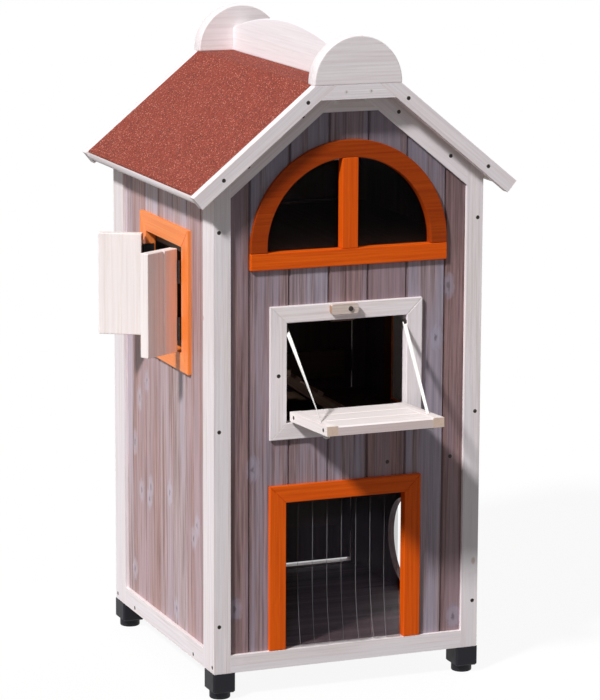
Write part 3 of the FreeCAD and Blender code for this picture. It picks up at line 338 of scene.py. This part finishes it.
def in_joints(normal):
    """1 on the slanting faces of upright V joints."""
    facing = normal.add("ShaderNodeSeparateXYZ", {}, {0: normal})
    depth = normal.maths("ABSOLUTE", facing.other("Y"), 0.0)
    flat = normal.maths("MAXIMUM", normal.maths("ABSOLUTE", facing, 0.0), depth)
    upright = fade(normal.maths("ABSOLUTE", facing.other("Z"), 0.0), 0.2, 0.3)
    return fade(flat, 0.85, 0.95) * upright


def on_ends(normal, way):
    """1 on the faces that look along a way or against it."""
    settings = {"operation": "DOT_PRODUCT"}
    facing = normal.add("ShaderNodeVectorMath", settings, {0: normal, 1: way}, "Value")
    return fade(normal.maths("ABSOLUTE", facing, 0.0), 0.95, 0.8)


def wood(name, pale, deep, streak, knot, contrast, rough=0.5, ring_width=0.005, knots=0.35, warm=None,
         spots=None, indoor_shade=INDOOR_PAINTED_SHADE, ends=None, gloss=0.3, eave_shade=None, joints=0.0):
    """Timber with growth rings round a pith, fibres, streaks and knots, in the grain attribute."""
    material, shader, start = new_finish(name, Specular_IOR_Level=gloss)
    grain = start.add("ShaderNodeAttribute", {"attribute_name": "grain"}, {}, "Vector")
    board = start.add("ShaderNodeAttribute", {"attribute_name": "board"}, {}, "Fac")
    place = object_place(start)
    normal = start.add("ShaderNodeTexCoord", {}, {}, "Normal")
    core, halo = placed_knots(place, spots) if spots else scattered_knots(grain, knots)
    wobble = noise(stretched(grain, *WOBBLE_SCALE), 1.0, 3.0)
    radius = length_of(stretched(grain, 0.0, 1.0, 1.0))
    turn = (radius + 0.02 * wobble + 0.006 * halo) * (math.tau / ring_width)
    ring = (0.5 + 0.5 * start.add("ShaderNodeMath", {"operation": "SINE"}, {0: turn})) ** 1.6
    fibre = noise(stretched(grain, *FIBRE_SCALE), 1.0, 4.0, 0.7)
    line = noise(stretched(grain, *LINE_SCALE), 1.0, 3.0, 0.6)
    band = noise(stretched(grain, *BAND_SCALE), 1.0, 3.0, 0.6)
    figure = 0.2 * ring + 0.4 * fade(fibre, 0.64, 0.38) + 0.4 * fade(line, 0.60, 0.42)
    colour = mixed(figure * contrast, (*pale, 1), (*deep, 1))
    colour = mixed(fade(band, 0.42, 0.58) * 0.6 * contrast, colour, (*streak, 1))
    if warm:
        colour = mixed(fade(board, 0.75, 0.15), colour, (*warm, 1), "MULTIPLY")
    colour = mixed(halo * 0.45, colour, (*streak, 1))
    colour = mixed(core * 0.7, colour, (*knot, 1))
    # Painted shade high up under the roof's overhang.
    if eave_shade:
        height = start.add("ShaderNodeSeparateXYZ", {}, {0: place}).other("Z")
        colour = mixed(fade(height, *eave_shade), colour, EAVE_PAINTED_SHADE, "MULTIPLY")
    # Painted shade in the V joints.
    if joints:
        colour = mixed(in_joints(normal) * joints, colour, JOINT_PAINTED_SHADE, "MULTIPLY")
    if ends:
        way, tint = ends
        colour = mixed(on_ends(normal, way), colour, (*tint, 1), "MULTIPLY")
    # Painted shade on the faces inside the house.
    colour = mixed(indoors(place), colour, indoor_shade, "MULTIPLY")
    feed(shader, "Base Color", colour)
    feed(shader, "Roughness", rough + 0.18 * (fibre - 0.5) + 0.06 * ring)
    bumped(shader, 0.6 * fibre + 0.4 * ring + 0.5 * core, 0.0004, 0.45)
    return material


def srgb(red, green, blue):
    """A colour by its screen values, in the shader's own scale."""
    return tuple(((v / 255 + 0.055) / 1.055) ** 2.4 if v > 10 else v / 3294 for v in (red, green, blue))


white_glaze = wood("white_glaze", srgb(246, 237, 238), srgb(214, 200, 200), srgb(238, 232, 237),
                   srgb(186, 160, 142), contrast=0.75, knots=0.12)
timber("front_frame", white_glaze, FRAME_EASE)


# Front boards: tongued and grooved softwood with a V joint, dipped in a thin grey-brown glaze. The
# glaze takes unevenly, so the boards are streaked lilac, grey and brown, with a few pale-ringed knots.
BOARD_RINGS = 0.0065
UPRIGHT = (0, 0, 1)
FRONT_KNOTS = [(0.19, 0.70), (0.215, 0.805), (0.235, 0.12), (-0.24, 0.185), (-0.20, 0.465)]
front_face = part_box("front_boards")[0].y
front_spots = [(x, front_face, z) for x, z in FRONT_KNOTS]
# The front boards get painted shade high up under the roof's overhang, and painted shade in their V
# joints.
front_glaze = wood("front_glaze", srgb(173, 154, 160), srgb(92, 75, 78), srgb(165, 160, 178),
                   srgb(92, 80, 86), contrast=0.95, ring_width=BOARD_RINGS, warm=srgb(234, 212, 204),
                   spots=front_spots, eave_shade=(1.04, 0.82), joints=0.9)
timber("front_boards", front_glaze, along=UPRIGHT)


# Side walls: framed and boarded as the front is, with a bevelled top rail that meets the roof. Their
# boards are coloured lighter than the front's, as painted light for the strongly lit left wall, and
# those of the left wall have more knots.
LEFT_KNOTS = [(0.095, 0.345), (0.155, 0.325), (0.105, 0.32), (-0.185, 0.33), (-0.165, 0.30),
              (0.195, 0.42), (0.12, 0.565), (0.165, 0.52), (0.20, 0.145), (-0.02, 0.36), (-0.06, 0.125)]
left_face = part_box("left_wall_boards")[0].x
left_spots = [(left_face, y, z) for y, z in LEFT_KNOTS]
# These tones are lighter than the front's: painted light for the strongly lit left wall. The joints get
# a little painted shade.
side_tones_painted_light = (srgb(207, 187, 191), srgb(128, 104, 99), srgb(203, 195, 211), srgb(118, 103, 110))
side_looks = {"contrast": 1.0, "ring_width": BOARD_RINGS, "warm": srgb(238, 218, 211), "joints": 0.25}
left_glaze = wood("left_glaze", *side_tones_painted_light, spots=left_spots, **side_looks)
side_glaze = wood("side_glaze", *side_tones_painted_light, **side_looks)
timber("left_wall_frame", white_glaze, FRAME_EASE)
timber("left_wall_boards", left_glaze, along=UPRIGHT)
timber("right_wall_frame", white_glaze, FRAME_EASE)
timber("right_wall_boards", side_glaze, along=UPRIGHT)


# Back: a white frame, a boarded gable and a full-height door, whose boards are held together by three
# planed ledges. The door hangs on black butt hinges.
bare_pine = wood("bare_pine", srgb(226, 206, 176), srgb(196, 164, 124), srgb(216, 196, 168),
                 srgb(140, 96, 62), contrast=0.9, rough=0.55)
timber("back_frame", white_glaze, FRAME_EASE)
timber("back_gable_boards", side_glaze, along=UPRIGHT)
timber("back_door_boards", side_glaze, along=UPRIGHT)
timber("back_door_ledges", bare_pine, FRAME_EASE)


# Inside: plywood floors on planed bearers that are screwed through the rails, a platform at the left
# window and a ramp with slats. All of it is darkened with painted shade, the ground floor and the ramp
# less so.
BATTEN_EASE = 0.0012
SIDEWAYS = (1, 0, 0)
plywood = wood("plywood", srgb(206, 184, 154), srgb(180, 150, 116), srgb(196, 172, 140),
               srgb(130, 92, 62), contrast=0.7, rough=0.6, ring_width=0.016, knots=0.2)
# The ground floor gets less painted shade than the rest inside, standing for the light through the
# doorway.
lit_plywood = wood("lit_plywood", srgb(226, 206, 204), srgb(150, 128, 130), srgb(132, 112, 116),
                   srgb(120, 90, 80), contrast=1.0, rough=0.6, ring_width=0.03, knots=0.2,
                   indoor_shade=(0.42, 0.36, 0.40, 1))
timber("ground_floor", lit_plywood, along=SIDEWAYS)
for node in ("middle_floor", "side_platform", "loft_floor"):
    timber(node, plywood)
for node in ("floor_bearers", "opening_stops", "roof_battens"):
    timber(node, bare_pine, BATTEN_EASE)
# The ramp gets only a little painted shade, standing for the light on it through the openings.
ramp_pine = wood("ramp_pine", srgb(206, 170, 150), srgb(170, 132, 112), srgb(196, 162, 144),
                 srgb(120, 80, 56), contrast=0.9, rough=0.55, indoor_shade=(0.8, 0.8, 0.8, 1))
timber("ramp", ramp_pine, BATTEN_EASE)


# Arched window: a half ring cut from a wide board, its sill and a mullion, all under an orange glaze,
# with a sheet of clear plastic tacked behind.
orange_glaze = wood("orange_glaze", srgb(236, 100, 14), srgb(200, 70, 6), srgb(228, 88, 10),
                    srgb(150, 50, 12), contrast=0.8, rough=0.42, knots=0.08, gloss=0.15)
# The ring is darker than the sill and mullion: partly its own darker glaze, partly painted shade of the
# roof over it.
ring_glaze_and_painted_shade = wood("ring_glaze_and_painted_shade", srgb(168, 68, 14), srgb(132, 44, 8), srgb(158, 59, 11),
                  srgb(110, 38, 8), contrast=0.9, rough=0.42, knots=0.08, gloss=0.1)
timber("arch_frame", ring_glaze_and_painted_shade, FRAME_EASE, along=SIDEWAYS)
timber("arch_sill", orange_glaze, FRAME_EASE)
timber("arch_mullion", orange_glaze, FRAME_EASE)


def pane_plastic():
    material, shader, start = new_finish("clear_pane", Transmission_Weight=1.0, IOR=1.07)
    marks = noise(stretched(object_place(start), 1.0, 1.0, 0.15), 60.0, 3.0)
    shader.inputs["Base Color"].default_value = (0.82, 0.74, 0.82, 1)
    feed(shader, "Roughness", 0.03 + 0.06 * fade(marks, 0.35, 0.6))
    return material


show("arch_pane", pane_plastic())


# Middle opening: a mitred white frame, and a flap of three boards between end cleats. The flap drops
# on two butt hinges until its cords hold it level.
BACKWARD = (0, 1, 0)
flap_tones = (srgb(250, 243, 241), srgb(228, 213, 208), srgb(247, 240, 240), srgb(190, 160, 130))
flap_glaze = wood("flap_glaze", *flap_tones, contrast=0.7, knots=0.15,
                  ends=(BACKWARD, srgb(221, 211, 210)))
cleat_glaze = wood("cleat_glaze", *flap_tones, contrast=0.7, knots=0.0,
                   ends=(BACKWARD, srgb(224, 206, 190)))
button_pine = wood("button_pine", srgb(222, 207, 198), srgb(182, 160, 148), srgb(212, 196, 188),
                   srgb(150, 110, 80), contrast=0.8, knots=0.0, ends=(SIDEWAYS, srgb(206, 178, 154)))
timber("flap_frame", white_glaze, FRAME_EASE)
timber("flap_boards", flap_glaze, BATTEN_EASE)
timber("flap_cleats", cleat_glaze, BATTEN_EASE)
timber("flap_button", button_pine, BATTEN_EASE, along=SIDEWAYS)
timber("door_button", button_pine, BATTEN_EASE, along=UPRIGHT)


# Hinges, screws and the curtain's rod: steel butt hinges with a black finish, a zinc-plated rod, and
# dull steel screws, coloured nearly black partly as painted shade of their countersunk holes. The
# screws in the middle of the rail under the ridge are glazed over with it.
PAINTED_WIDTH = (0.05, 0.055)
PAINTED_HEIGHT = (1.10, 1.08)


def black_metal():
    material, shader, start = new_finish("black_metal", Metallic=0.3, Specular_IOR_Level=0.5)
    place = object_place(start)
    wear = noise(place, 120.0, 4.0, 0.6)
    worn = fade(wear, 0.30, 0.42)
    feed(shader, "Base Color", mixed(worn, (0.016, 0.016, 0.018, 1), (0.06, 0.06, 0.065, 1)))
    feed(shader, "Roughness", 0.32 + 0.3 * wear)
    bumped(shader, noise(place, 1500.0, 1.0), 0.0001, 0.4)
    return material


def zinc_steel():
    material, shader, start = new_finish("zinc_steel", Metallic=1.0)
    place = object_place(start)
    bloom = noise(place, 260.0, 4.0, 0.6)
    feed(shader, "Base Color", mixed(bloom, (0.42, 0.41, 0.39, 1), (0.66, 0.65, 0.62, 1)))
    feed(shader, "Roughness", 0.28 + 0.25 * bloom)
    return material


def dull_steel():
    material, shader, start = new_finish("dull_steel", Metallic=0.2, Specular_IOR_Level=0.2)
    place = object_place(start)
    tarnish = noise(place, 700.0, 3.0, 0.6)
    # Nearly black: partly the screws' own dull steel, partly painted shade of their countersunk holes.
    colour = mixed(tarnish, (0.012, 0.010, 0.009, 1), (0.08, 0.066, 0.056, 1))
    axes = start.add("ShaderNodeSeparateXYZ", {}, {0: place})
    painted = fade(start.maths("ABSOLUTE", axes, 0.0), *PAINTED_WIDTH)
    painted = painted * fade(axes.other("Z"), *PAINTED_HEIGHT)
    feed(shader, "Base Color", mixed(painted, colour, (0.72, 0.68, 0.67, 1)))
    feed(shader, "Roughness", 0.35 + 0.2 * tarnish)
    return material


hinge_metal = black_metal()
for node in ("hinge_leaves", "flap_hinges", "back_door_hinges", "left_shutter_front_hinges",
             "left_shutter_back_hinges", "right_shutter_front_hinges", "right_shutter_back_hinges"):
    show(node, hinge_metal)
show("curtain_rod", zinc_steel())
screw_metal = dull_steel()
for node in ("screws", "frame_screws", "flap_screws"):
    show(node, screw_metal)


# Flap cords: flat white woven tapes, fixed to the reveals and knotted under the flap. They come off
# their fixings with a turn, and the flap's weight keeps them straight.
TAPE_WIDTH = 0.0075
TAPE_THICK = 0.0016
KNOT_SIZE = 0.0017
KNOT_CORD = 0.0021
KNOT_STEPS = 72
TAPE_SIDES = 12
OPENING_MIDDLE = -0.005
CORD_ROUTE = [(0.1253, -0.2960, 0.7385), (0.1228, -0.3230, 0.7106), (0.1126, -0.4357, 0.5942),
              (0.1097, -0.4684, 0.5604)]


def cord_fibre():
    material, shader, start = new_finish("white_cord", Specular_IOR_Level=0.2, Sheen_Weight=0.3)
    place = object_place(start)
    strands = noise(stretched(place, 1.0, 0.3, 0.3), 2200.0, 2.0)
    feed(shader, "Base Color", mixed(strands, (0.70, 0.68, 0.64, 1), (0.90, 0.89, 0.87, 1)))
    feed(shader, "Roughness", 0.75 + 0.15 * strands)
    bumped(shader, strands, 0.0003, 0.5)
    return material


def route_line(points):
    """Points along the smooth line of a cord's route."""
    curve = bpy.data.curves.new("route", "CURVE")
    curve.dimensions = "3D"
    spline = curve.splines.new("NURBS")
    spline.points.add(len(points) - 1)
    for point, place in zip(spline.points, points):
        point.co = (*place, 1.0)
    spline.order_u = 3
    spline.use_endpoint_u = True
    spline.resolution_u = 40
    holder = bpy.data.objects.new("route", curve)
    line = bpy.data.meshes.new_from_object(holder)
    found = [vert.co.copy() for vert in line.vertices]
    bpy.data.objects.remove(holder)
    bpy.data.meshes.remove(line)
    return found


def swept(name, line, radius):
    """A round tube along a line."""
    curve = bpy.data.curves.new(name, "CURVE")
    curve.dimensions = "3D"
    curve.bevel_depth = radius
    curve.bevel_resolution = 3
    curve.use_fill_caps = True
    spline = curve.splines.new("POLY")
    spline.points.add(len(line) - 1)
    for point, place in zip(spline.points, line):
        point.co = (*place, 1.0)
    holder = bpy.data.objects.new(name, curve)
    mesh = bpy.data.meshes.new_from_object(holder)
    bpy.data.objects.remove(holder)
    return mesh


def woven_tape(name, line, first, last):
    """A flat tape with a domed weave along a nearly straight line, turned from one angle to another."""
    way = (line[-1] - line[0]).normalized()
    side = way.cross(Vector((0, 0, 1))).normalized()
    square = Matrix((side, side.cross(way), -way)).transposed().to_4x4()
    section = Matrix.Diagonal((TAPE_WIDTH, TAPE_THICK, 1, 1))
    tape = bmesh.new()
    rings = []
    for index, point in enumerate(line):
        angle = first + (last - first) * index / (len(line) - 1)
        stand = Matrix.Translation(point) @ square @ Matrix.Rotation(angle, 4, "Z") @ section
        bmesh.ops.create_circle(tape, segments=TAPE_SIDES, radius=0.5, matrix=stand)
        rings.append(tape.edges[-TAPE_SIDES:])
    for one, two in zip(rings, rings[1:]):
        bmesh.ops.bridge_loops(tape, edges=one + two)
    for end in (rings[0], rings[-1]):
        bmesh.ops.contextual_create(tape, geom=end)
    bmesh.ops.recalc_face_normals(tape, faces=tape.faces)
    mesh = bpy.data.meshes.new(name)
    tape.to_mesh(mesh)
    tape.free()
    return mesh


def trefoil(centre):
    """The line of an overhand knot pulled tight."""
    line = []
    for step in range(KNOT_STEPS + 1):
        turn = math.tau * step / KNOT_STEPS
        across = math.sin(turn) + 2 * math.sin(2 * turn)
        along = math.cos(turn) - 2 * math.cos(2 * turn)
        line.append(centre + KNOT_SIZE * Vector((across, along, -math.sin(3 * turn))))
    return line


TAPES = {"left": (-1, 2.62, 0.61), "right": (1, 2.81, 1.88)}
cord_white = cord_fibre()
for side, (hand, first_turn, last_turn) in TAPES.items():
    route = [(OPENING_MIDDLE + hand * x, y, z) for x, y, z in CORD_ROUTE]
    line = route_line(route)
    name = f"flap_tape_{side}"
    cord = bpy.data.objects.new(name, woven_tape(name, line, first_turn, last_turn))
    knot = bpy.data.objects.new(name + "_knot", swept("knot", trefoil(line[-1]), KNOT_CORD))
    for piece in (cord, knot):
        bpy.context.scene.collection.objects.link(piece)
        piece.data.materials.append(cord_white)
    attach(knot, "flap")
    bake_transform(cord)
    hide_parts(f"flap_cord_{side}")


# Doorway: a mitred orange frame on the bottom rail, and behind its head a batten with a steel rod.
# Eight clear strips are hemmed round the rod, and bow out over the rail at the foot.
STRIP_COUNT = 8
STRIP_THICK = 0.0016
STRIP_GAP = 0.0004
HEM_RADIUS = 0.003
HEM_OUTSIDE = 0.004
HEM_START = math.radians(-60)
HEM_TURN = math.radians(240)
FOOT_CLEAR = 0.001
BOW_REACH = 0.020
BOW_HEIGHT = 0.150
STRIP_SWAY = (-0.002, 0.003)
STRIP_CUP = (0.001, 0.004)
STRIP_TWIST = (-0.006, 0.006)
EDGE_LINE = 0.0009


def strip_path(share, rod_y, rod_z, foot):
    """A point of a strip's side view, from its hem over the rod down to its bowed foot."""
    bow_radius = (BOW_HEIGHT ** 2 + BOW_REACH ** 2) / (2 * BOW_REACH)
    hem = HEM_TURN * HEM_RADIUS
    straight = rod_z - foot - BOW_HEIGHT
    run = share * (hem + straight + bow_radius * math.asin(BOW_HEIGHT / bow_radius))
    if run < hem:
        angle = HEM_START + run / HEM_RADIUS
        return rod_y + HEM_RADIUS * math.cos(angle), rod_z + HEM_RADIUS * math.sin(angle)
    run -= hem
    if run < straight:
        return rod_y - HEM_RADIUS, rod_z - run
    angle = (run - straight) / bow_radius
    return (rod_y - HEM_RADIUS - bow_radius * (1 - math.cos(angle)),
            foot + BOW_HEIGHT - bow_radius * math.sin(angle))


def strip_curtain():
    draw = random.Random(7)
    low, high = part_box("strip_curtain")
    pitch = (high.x - low.x + STRIP_GAP) / STRIP_COUNT
    width = pitch - STRIP_GAP
    curtain = bmesh.new()
    edge = curtain.verts.layers.float.new("edge")
    for index in range(STRIP_COUNT):
        grid = bmesh.ops.create_grid(curtain, x_segments=6, y_segments=90, size=0.5)["verts"]
        sway = draw.uniform(*STRIP_SWAY)
        cup = draw.uniform(*STRIP_CUP)
        twist = draw.uniform(*STRIP_TWIST)
        for vert in grid:
            across = vert.co.x
            share = 0.5 - vert.co.y
            y, z = strip_path(share, high.y - HEM_OUTSIDE, high.z - HEM_OUTSIDE, low.z + FOOT_CLEAR)
            lean = share ** 3
            middle = low.x + (index + 0.5) * pitch - STRIP_GAP / 2
            vert[edge] = (0.5 + across) * width
            vert.co = (middle + across * width + sway * lean,
                       y + lean * (cup * (4 * across ** 2 - 1) + twist * across), z)
    bmesh.ops.solidify(curtain, geom=curtain.faces, thickness=STRIP_THICK)
    mesh = bpy.data.meshes.new("curtain_strips")
    curtain.to_mesh(mesh)
    curtain.free()
    for face in mesh.polygons:
        face.use_smooth = True
    return mesh


def strip_plastic():
    """Clear plastic, too thin to bend what is seen through it, whose cut edges look frosted."""
    material, shader, start = new_finish("clear_strip", Specular_IOR_Level=0.12)
    edge = start.add("ShaderNodeAttribute", {"attribute_name": "edge"}, {}, "Fac")
    marks = noise(stretched(object_place(start), 1.0, 1.0, 0.15), 25.0, 3.0)
    rim = fade(edge, EDGE_LINE * 0.7, EDGE_LINE * 1.3)
    feed(shader, "Base Color", mixed(rim, (0.020, 0.016, 0.024, 1), (0.30, 0.29, 0.31, 1)))
    feed(shader, "Roughness", 0.10 + 0.10 * marks)
    feed(shader, "Alpha", 0.20 + 0.08 * marks + 0.20 * rim)
    return material


timber("doorway_frame", orange_glaze, FRAME_EASE)
timber("curtain_batten", bare_pine, BATTEN_EASE)
strips = bpy.data.objects.new("curtain_strips", strip_curtain())
bpy.context.scene.collection.objects.link(strips)
strips.data.materials.append(strip_plastic())
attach(strips, "curtain")
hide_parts("strip_curtain")


# Side windows: mitred orange frames, each with a pair of shutters of two white boards, which swing on
# black butt hinges at the window's front and back edges.
SHUTTER_EASE = 0.0018
# The side frames' orange is lighter and yellower than the front's: painted light for the strongly lit
# left side.
window_orange_painted_light = wood("window_orange_painted_light", srgb(250, 146, 72), srgb(240, 118, 46), srgb(250, 150, 82),
                    srgb(190, 80, 26), contrast=0.8, rough=0.42, knots=0.08)
shutter_glaze = wood("shutter_glaze", *flap_tones, contrast=0.7, knots=0.15)
for side in ("left", "right"):
    timber(f"{side}_window_frame", window_orange_painted_light, FRAME_EASE)
    for leaf in ("front", "back"):
        timber(f"{side}_shutter_{leaf}", shutter_glaze, SHUTTER_EASE)


# Roof: board panels and a flat ridge deck under red mineral felt, with white eave strips nailed to
# the panels' lower edges. Felt and strips are trimmed upright together.
EAVE_TRIM = 0.006
EAVE_EASE = 0.0008


def mineral_felt():
    material, shader, start = new_finish("red_mineral_felt", Specular_IOR_Level=0.25)
    place = object_place(start)
    grit = start.add("ShaderNodeTexVoronoi", {}, {"Vector": place, "Scale": 560.0})
    shade = start.add("ShaderNodeSeparateColor", {}, {"Color": grit.other("Color")})
    patch = noise(place, 14.0, 4.0, 0.6)
    dark = (0.050, 0.010, 0.008, 1)
    mid = (0.40, 0.078, 0.049, 1)
    bright = (0.74, 0.30, 0.22, 1)
    colour = mixed(shade, dark, mid)
    colour = mixed(fade(shade.other("Green"), 0.92, 0.96), bright, colour)
    colour = mixed(patch * 0.4, colour, mid)
    feed(shader, "Base Color", colour)
    feed(shader, "Roughness", 0.78 + 0.18 * shade)
    bumped(shader, grit, 0.0012, 0.9)
    return material


eave_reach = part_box("roof_felt")[1].x - EAVE_TRIM
for node in ("roof_panels", "ridge_deck"):
    timber(node, bare_pine)
timber("roof_felt", mineral_felt(), reach=eave_reach)
timber("eave_strips", white_glaze, EAVE_EASE, reach=eave_reach)


# Verges and ridge: bargeboards with a filler between each pair, two thick half-discs and an arched
# board between them, all white glazed.
VERGE_EASE = 0.0024
DISC_EASE = 0.0025
RIDGE_EASE = 0.0020
for node in ("front_bargeboards", "back_bargeboards", "gable_fillers"):
    timber(node, white_glaze, VERGE_EASE)
ridge_glaze = wood("ridge_glaze", srgb(250, 245, 248), srgb(232, 222, 224), srgb(248, 244, 248),
                   srgb(206, 186, 176), contrast=0.6, knots=0.08)
disc_glaze = wood("disc_glaze", srgb(246, 238, 239), srgb(220, 207, 208), srgb(241, 234, 237),
                  srgb(206, 186, 176), contrast=0.75, knots=0.08)
timber("ridge_discs", disc_glaze, DISC_EASE, along=SIDEWAYS)
timber("arched_ridge_board", ridge_glaze, RIDGE_EASE, along=BACKWARD)


# Stage: a pale floor, a hard lamp high on the left in front, a weak broad one from behind on the
# right, so that the far sides are lit too, and soft light from all round.
FLOOR_REACH = 30.0
KEY_DIRECTION = Vector((0.630, 0.385, -0.675))
KEY_STRENGTH = 3.7
KEY_SOFTNESS = math.radians(6.0)
BACK_DIRECTION = Vector((-0.66, -0.62, -0.26))
BACK_STRENGTH = 1.3
BACK_SOFTNESS = math.radians(50.0)
FILL_STRENGTH = 0.21
FLOOR_GLOW = 0.92


def seen_directly(start):
    path = start.add("ShaderNodeLightPath", {}, {}, "Is Camera Ray")
    return path + path.other("Is Glossy Ray") + path.other("Is Transmission Ray")


def floor_paint():
    material = bpy.data.materials.new("pale_floor")
    material.use_nodes = True
    start = Shade(material.node_tree)
    tree = material.node_tree
    tree.nodes.remove(tree.nodes["Principled BSDF"])
    seen = start.add("ShaderNodeMath", {"operation": "MINIMUM"}, {0: seen_directly(start), 1: 1.0})
    dull = start.add("ShaderNodeBsdfDiffuse", {}, {"Color": (0.18, 0.18, 0.18, 1)})
    white = start.add("ShaderNodeEmission", {}, {"Color": (1, 1, 1, 1), "Strength": 1.0})
    pale = start.add("ShaderNodeBsdfDiffuse", {}, {"Color": (0.9, 0.9, 0.9, 1)})
    shown = start.add("ShaderNodeMixShader", {}, {0: FLOOR_GLOW, 1: pale, 2: white})
    both = start.add("ShaderNodeMixShader", {}, {0: seen, 1: dull, 2: shown})
    tree.links.new(both.socket, tree.nodes["Material Output"].inputs["Surface"])
    return material


ground = bmesh.new()
bmesh.ops.create_grid(ground, x_segments=1, y_segments=1, size=FLOOR_REACH)
floor_mesh = bpy.data.meshes.new("floor")
ground.to_mesh(floor_mesh)
ground.free()
floor_mesh.materials.append(floor_paint())
floor = bpy.data.objects.new("floor", floor_mesh)
bpy.context.scene.collection.objects.link(floor)


def far_lamp(name, direction, strength, softness):
    light = bpy.data.lights.new(name, "SUN")
    light.energy = strength
    light.angle = softness
    lamp = bpy.data.objects.new(name, light)
    lamp.rotation_mode = "QUATERNION"
    lamp.rotation_quaternion = direction.to_track_quat("-Z", "Y")
    bpy.context.scene.collection.objects.link(lamp)


far_lamp("key", KEY_DIRECTION, KEY_STRENGTH, KEY_SOFTNESS)
far_lamp("back", BACK_DIRECTION, BACK_STRENGTH, BACK_SOFTNESS)

world = bpy.data.worlds.new("studio")
world.use_nodes = True
bpy.context.scene.world = world
sky = Shade(world.node_tree)
world.node_tree.nodes.remove(world.node_tree.nodes["Background"])
white_sky = sky.add("ShaderNodeBackground", {}, {"Color": (1, 1, 1, 1), "Strength": 1.0})
fill_sky = sky.add("ShaderNodeBackground", {}, {"Color": (1, 1, 1, 1), "Strength": FILL_STRENGTH})
both_skies = sky.add("ShaderNodeMixShader", {}, {0: seen_directly(sky), 1: fill_sky, 2: white_sky})
world.node_tree.links.new(both_skies.socket, world.node_tree.nodes["World Output"].inputs["Surface"])


# Camera: above the roof and to the left of the front, looking slightly down as the photograph does,
# with a long lens from well back.
CAMERA_PLACE = Vector((-2.46782, -6.23193, 1.99153))
CAMERA_YAW = math.radians(21.7283)
CAMERA_PITCH = math.radians(-11.4533)
CAMERA_ROLL = math.radians(0.234)
SENSOR_WIDTH = 36.0
IMAGE_HEIGHT = 700
FOCAL_PIXELS = 3323.08

lens = bpy.data.cameras.new("camera")
lens.sensor_width = SENSOR_WIDTH
lens.lens = SENSOR_WIDTH * FOCAL_PIXELS / IMAGE_HEIGHT
camera = bpy.data.objects.new("camera", lens)
turn = Matrix.Rotation(-CAMERA_YAW, 4, "Z") @ Matrix.Rotation(math.pi / 2 + CAMERA_PITCH, 4, "X")
camera.matrix_world = Matrix.Translation(CAMERA_PLACE) @ turn @ Matrix.Rotation(CAMERA_ROLL, 4, "Z")
bpy.context.scene.collection.objects.link(camera)
bpy.context.scene.camera = camera
bpy.context.scene.view_settings.view_transform = "Standard"
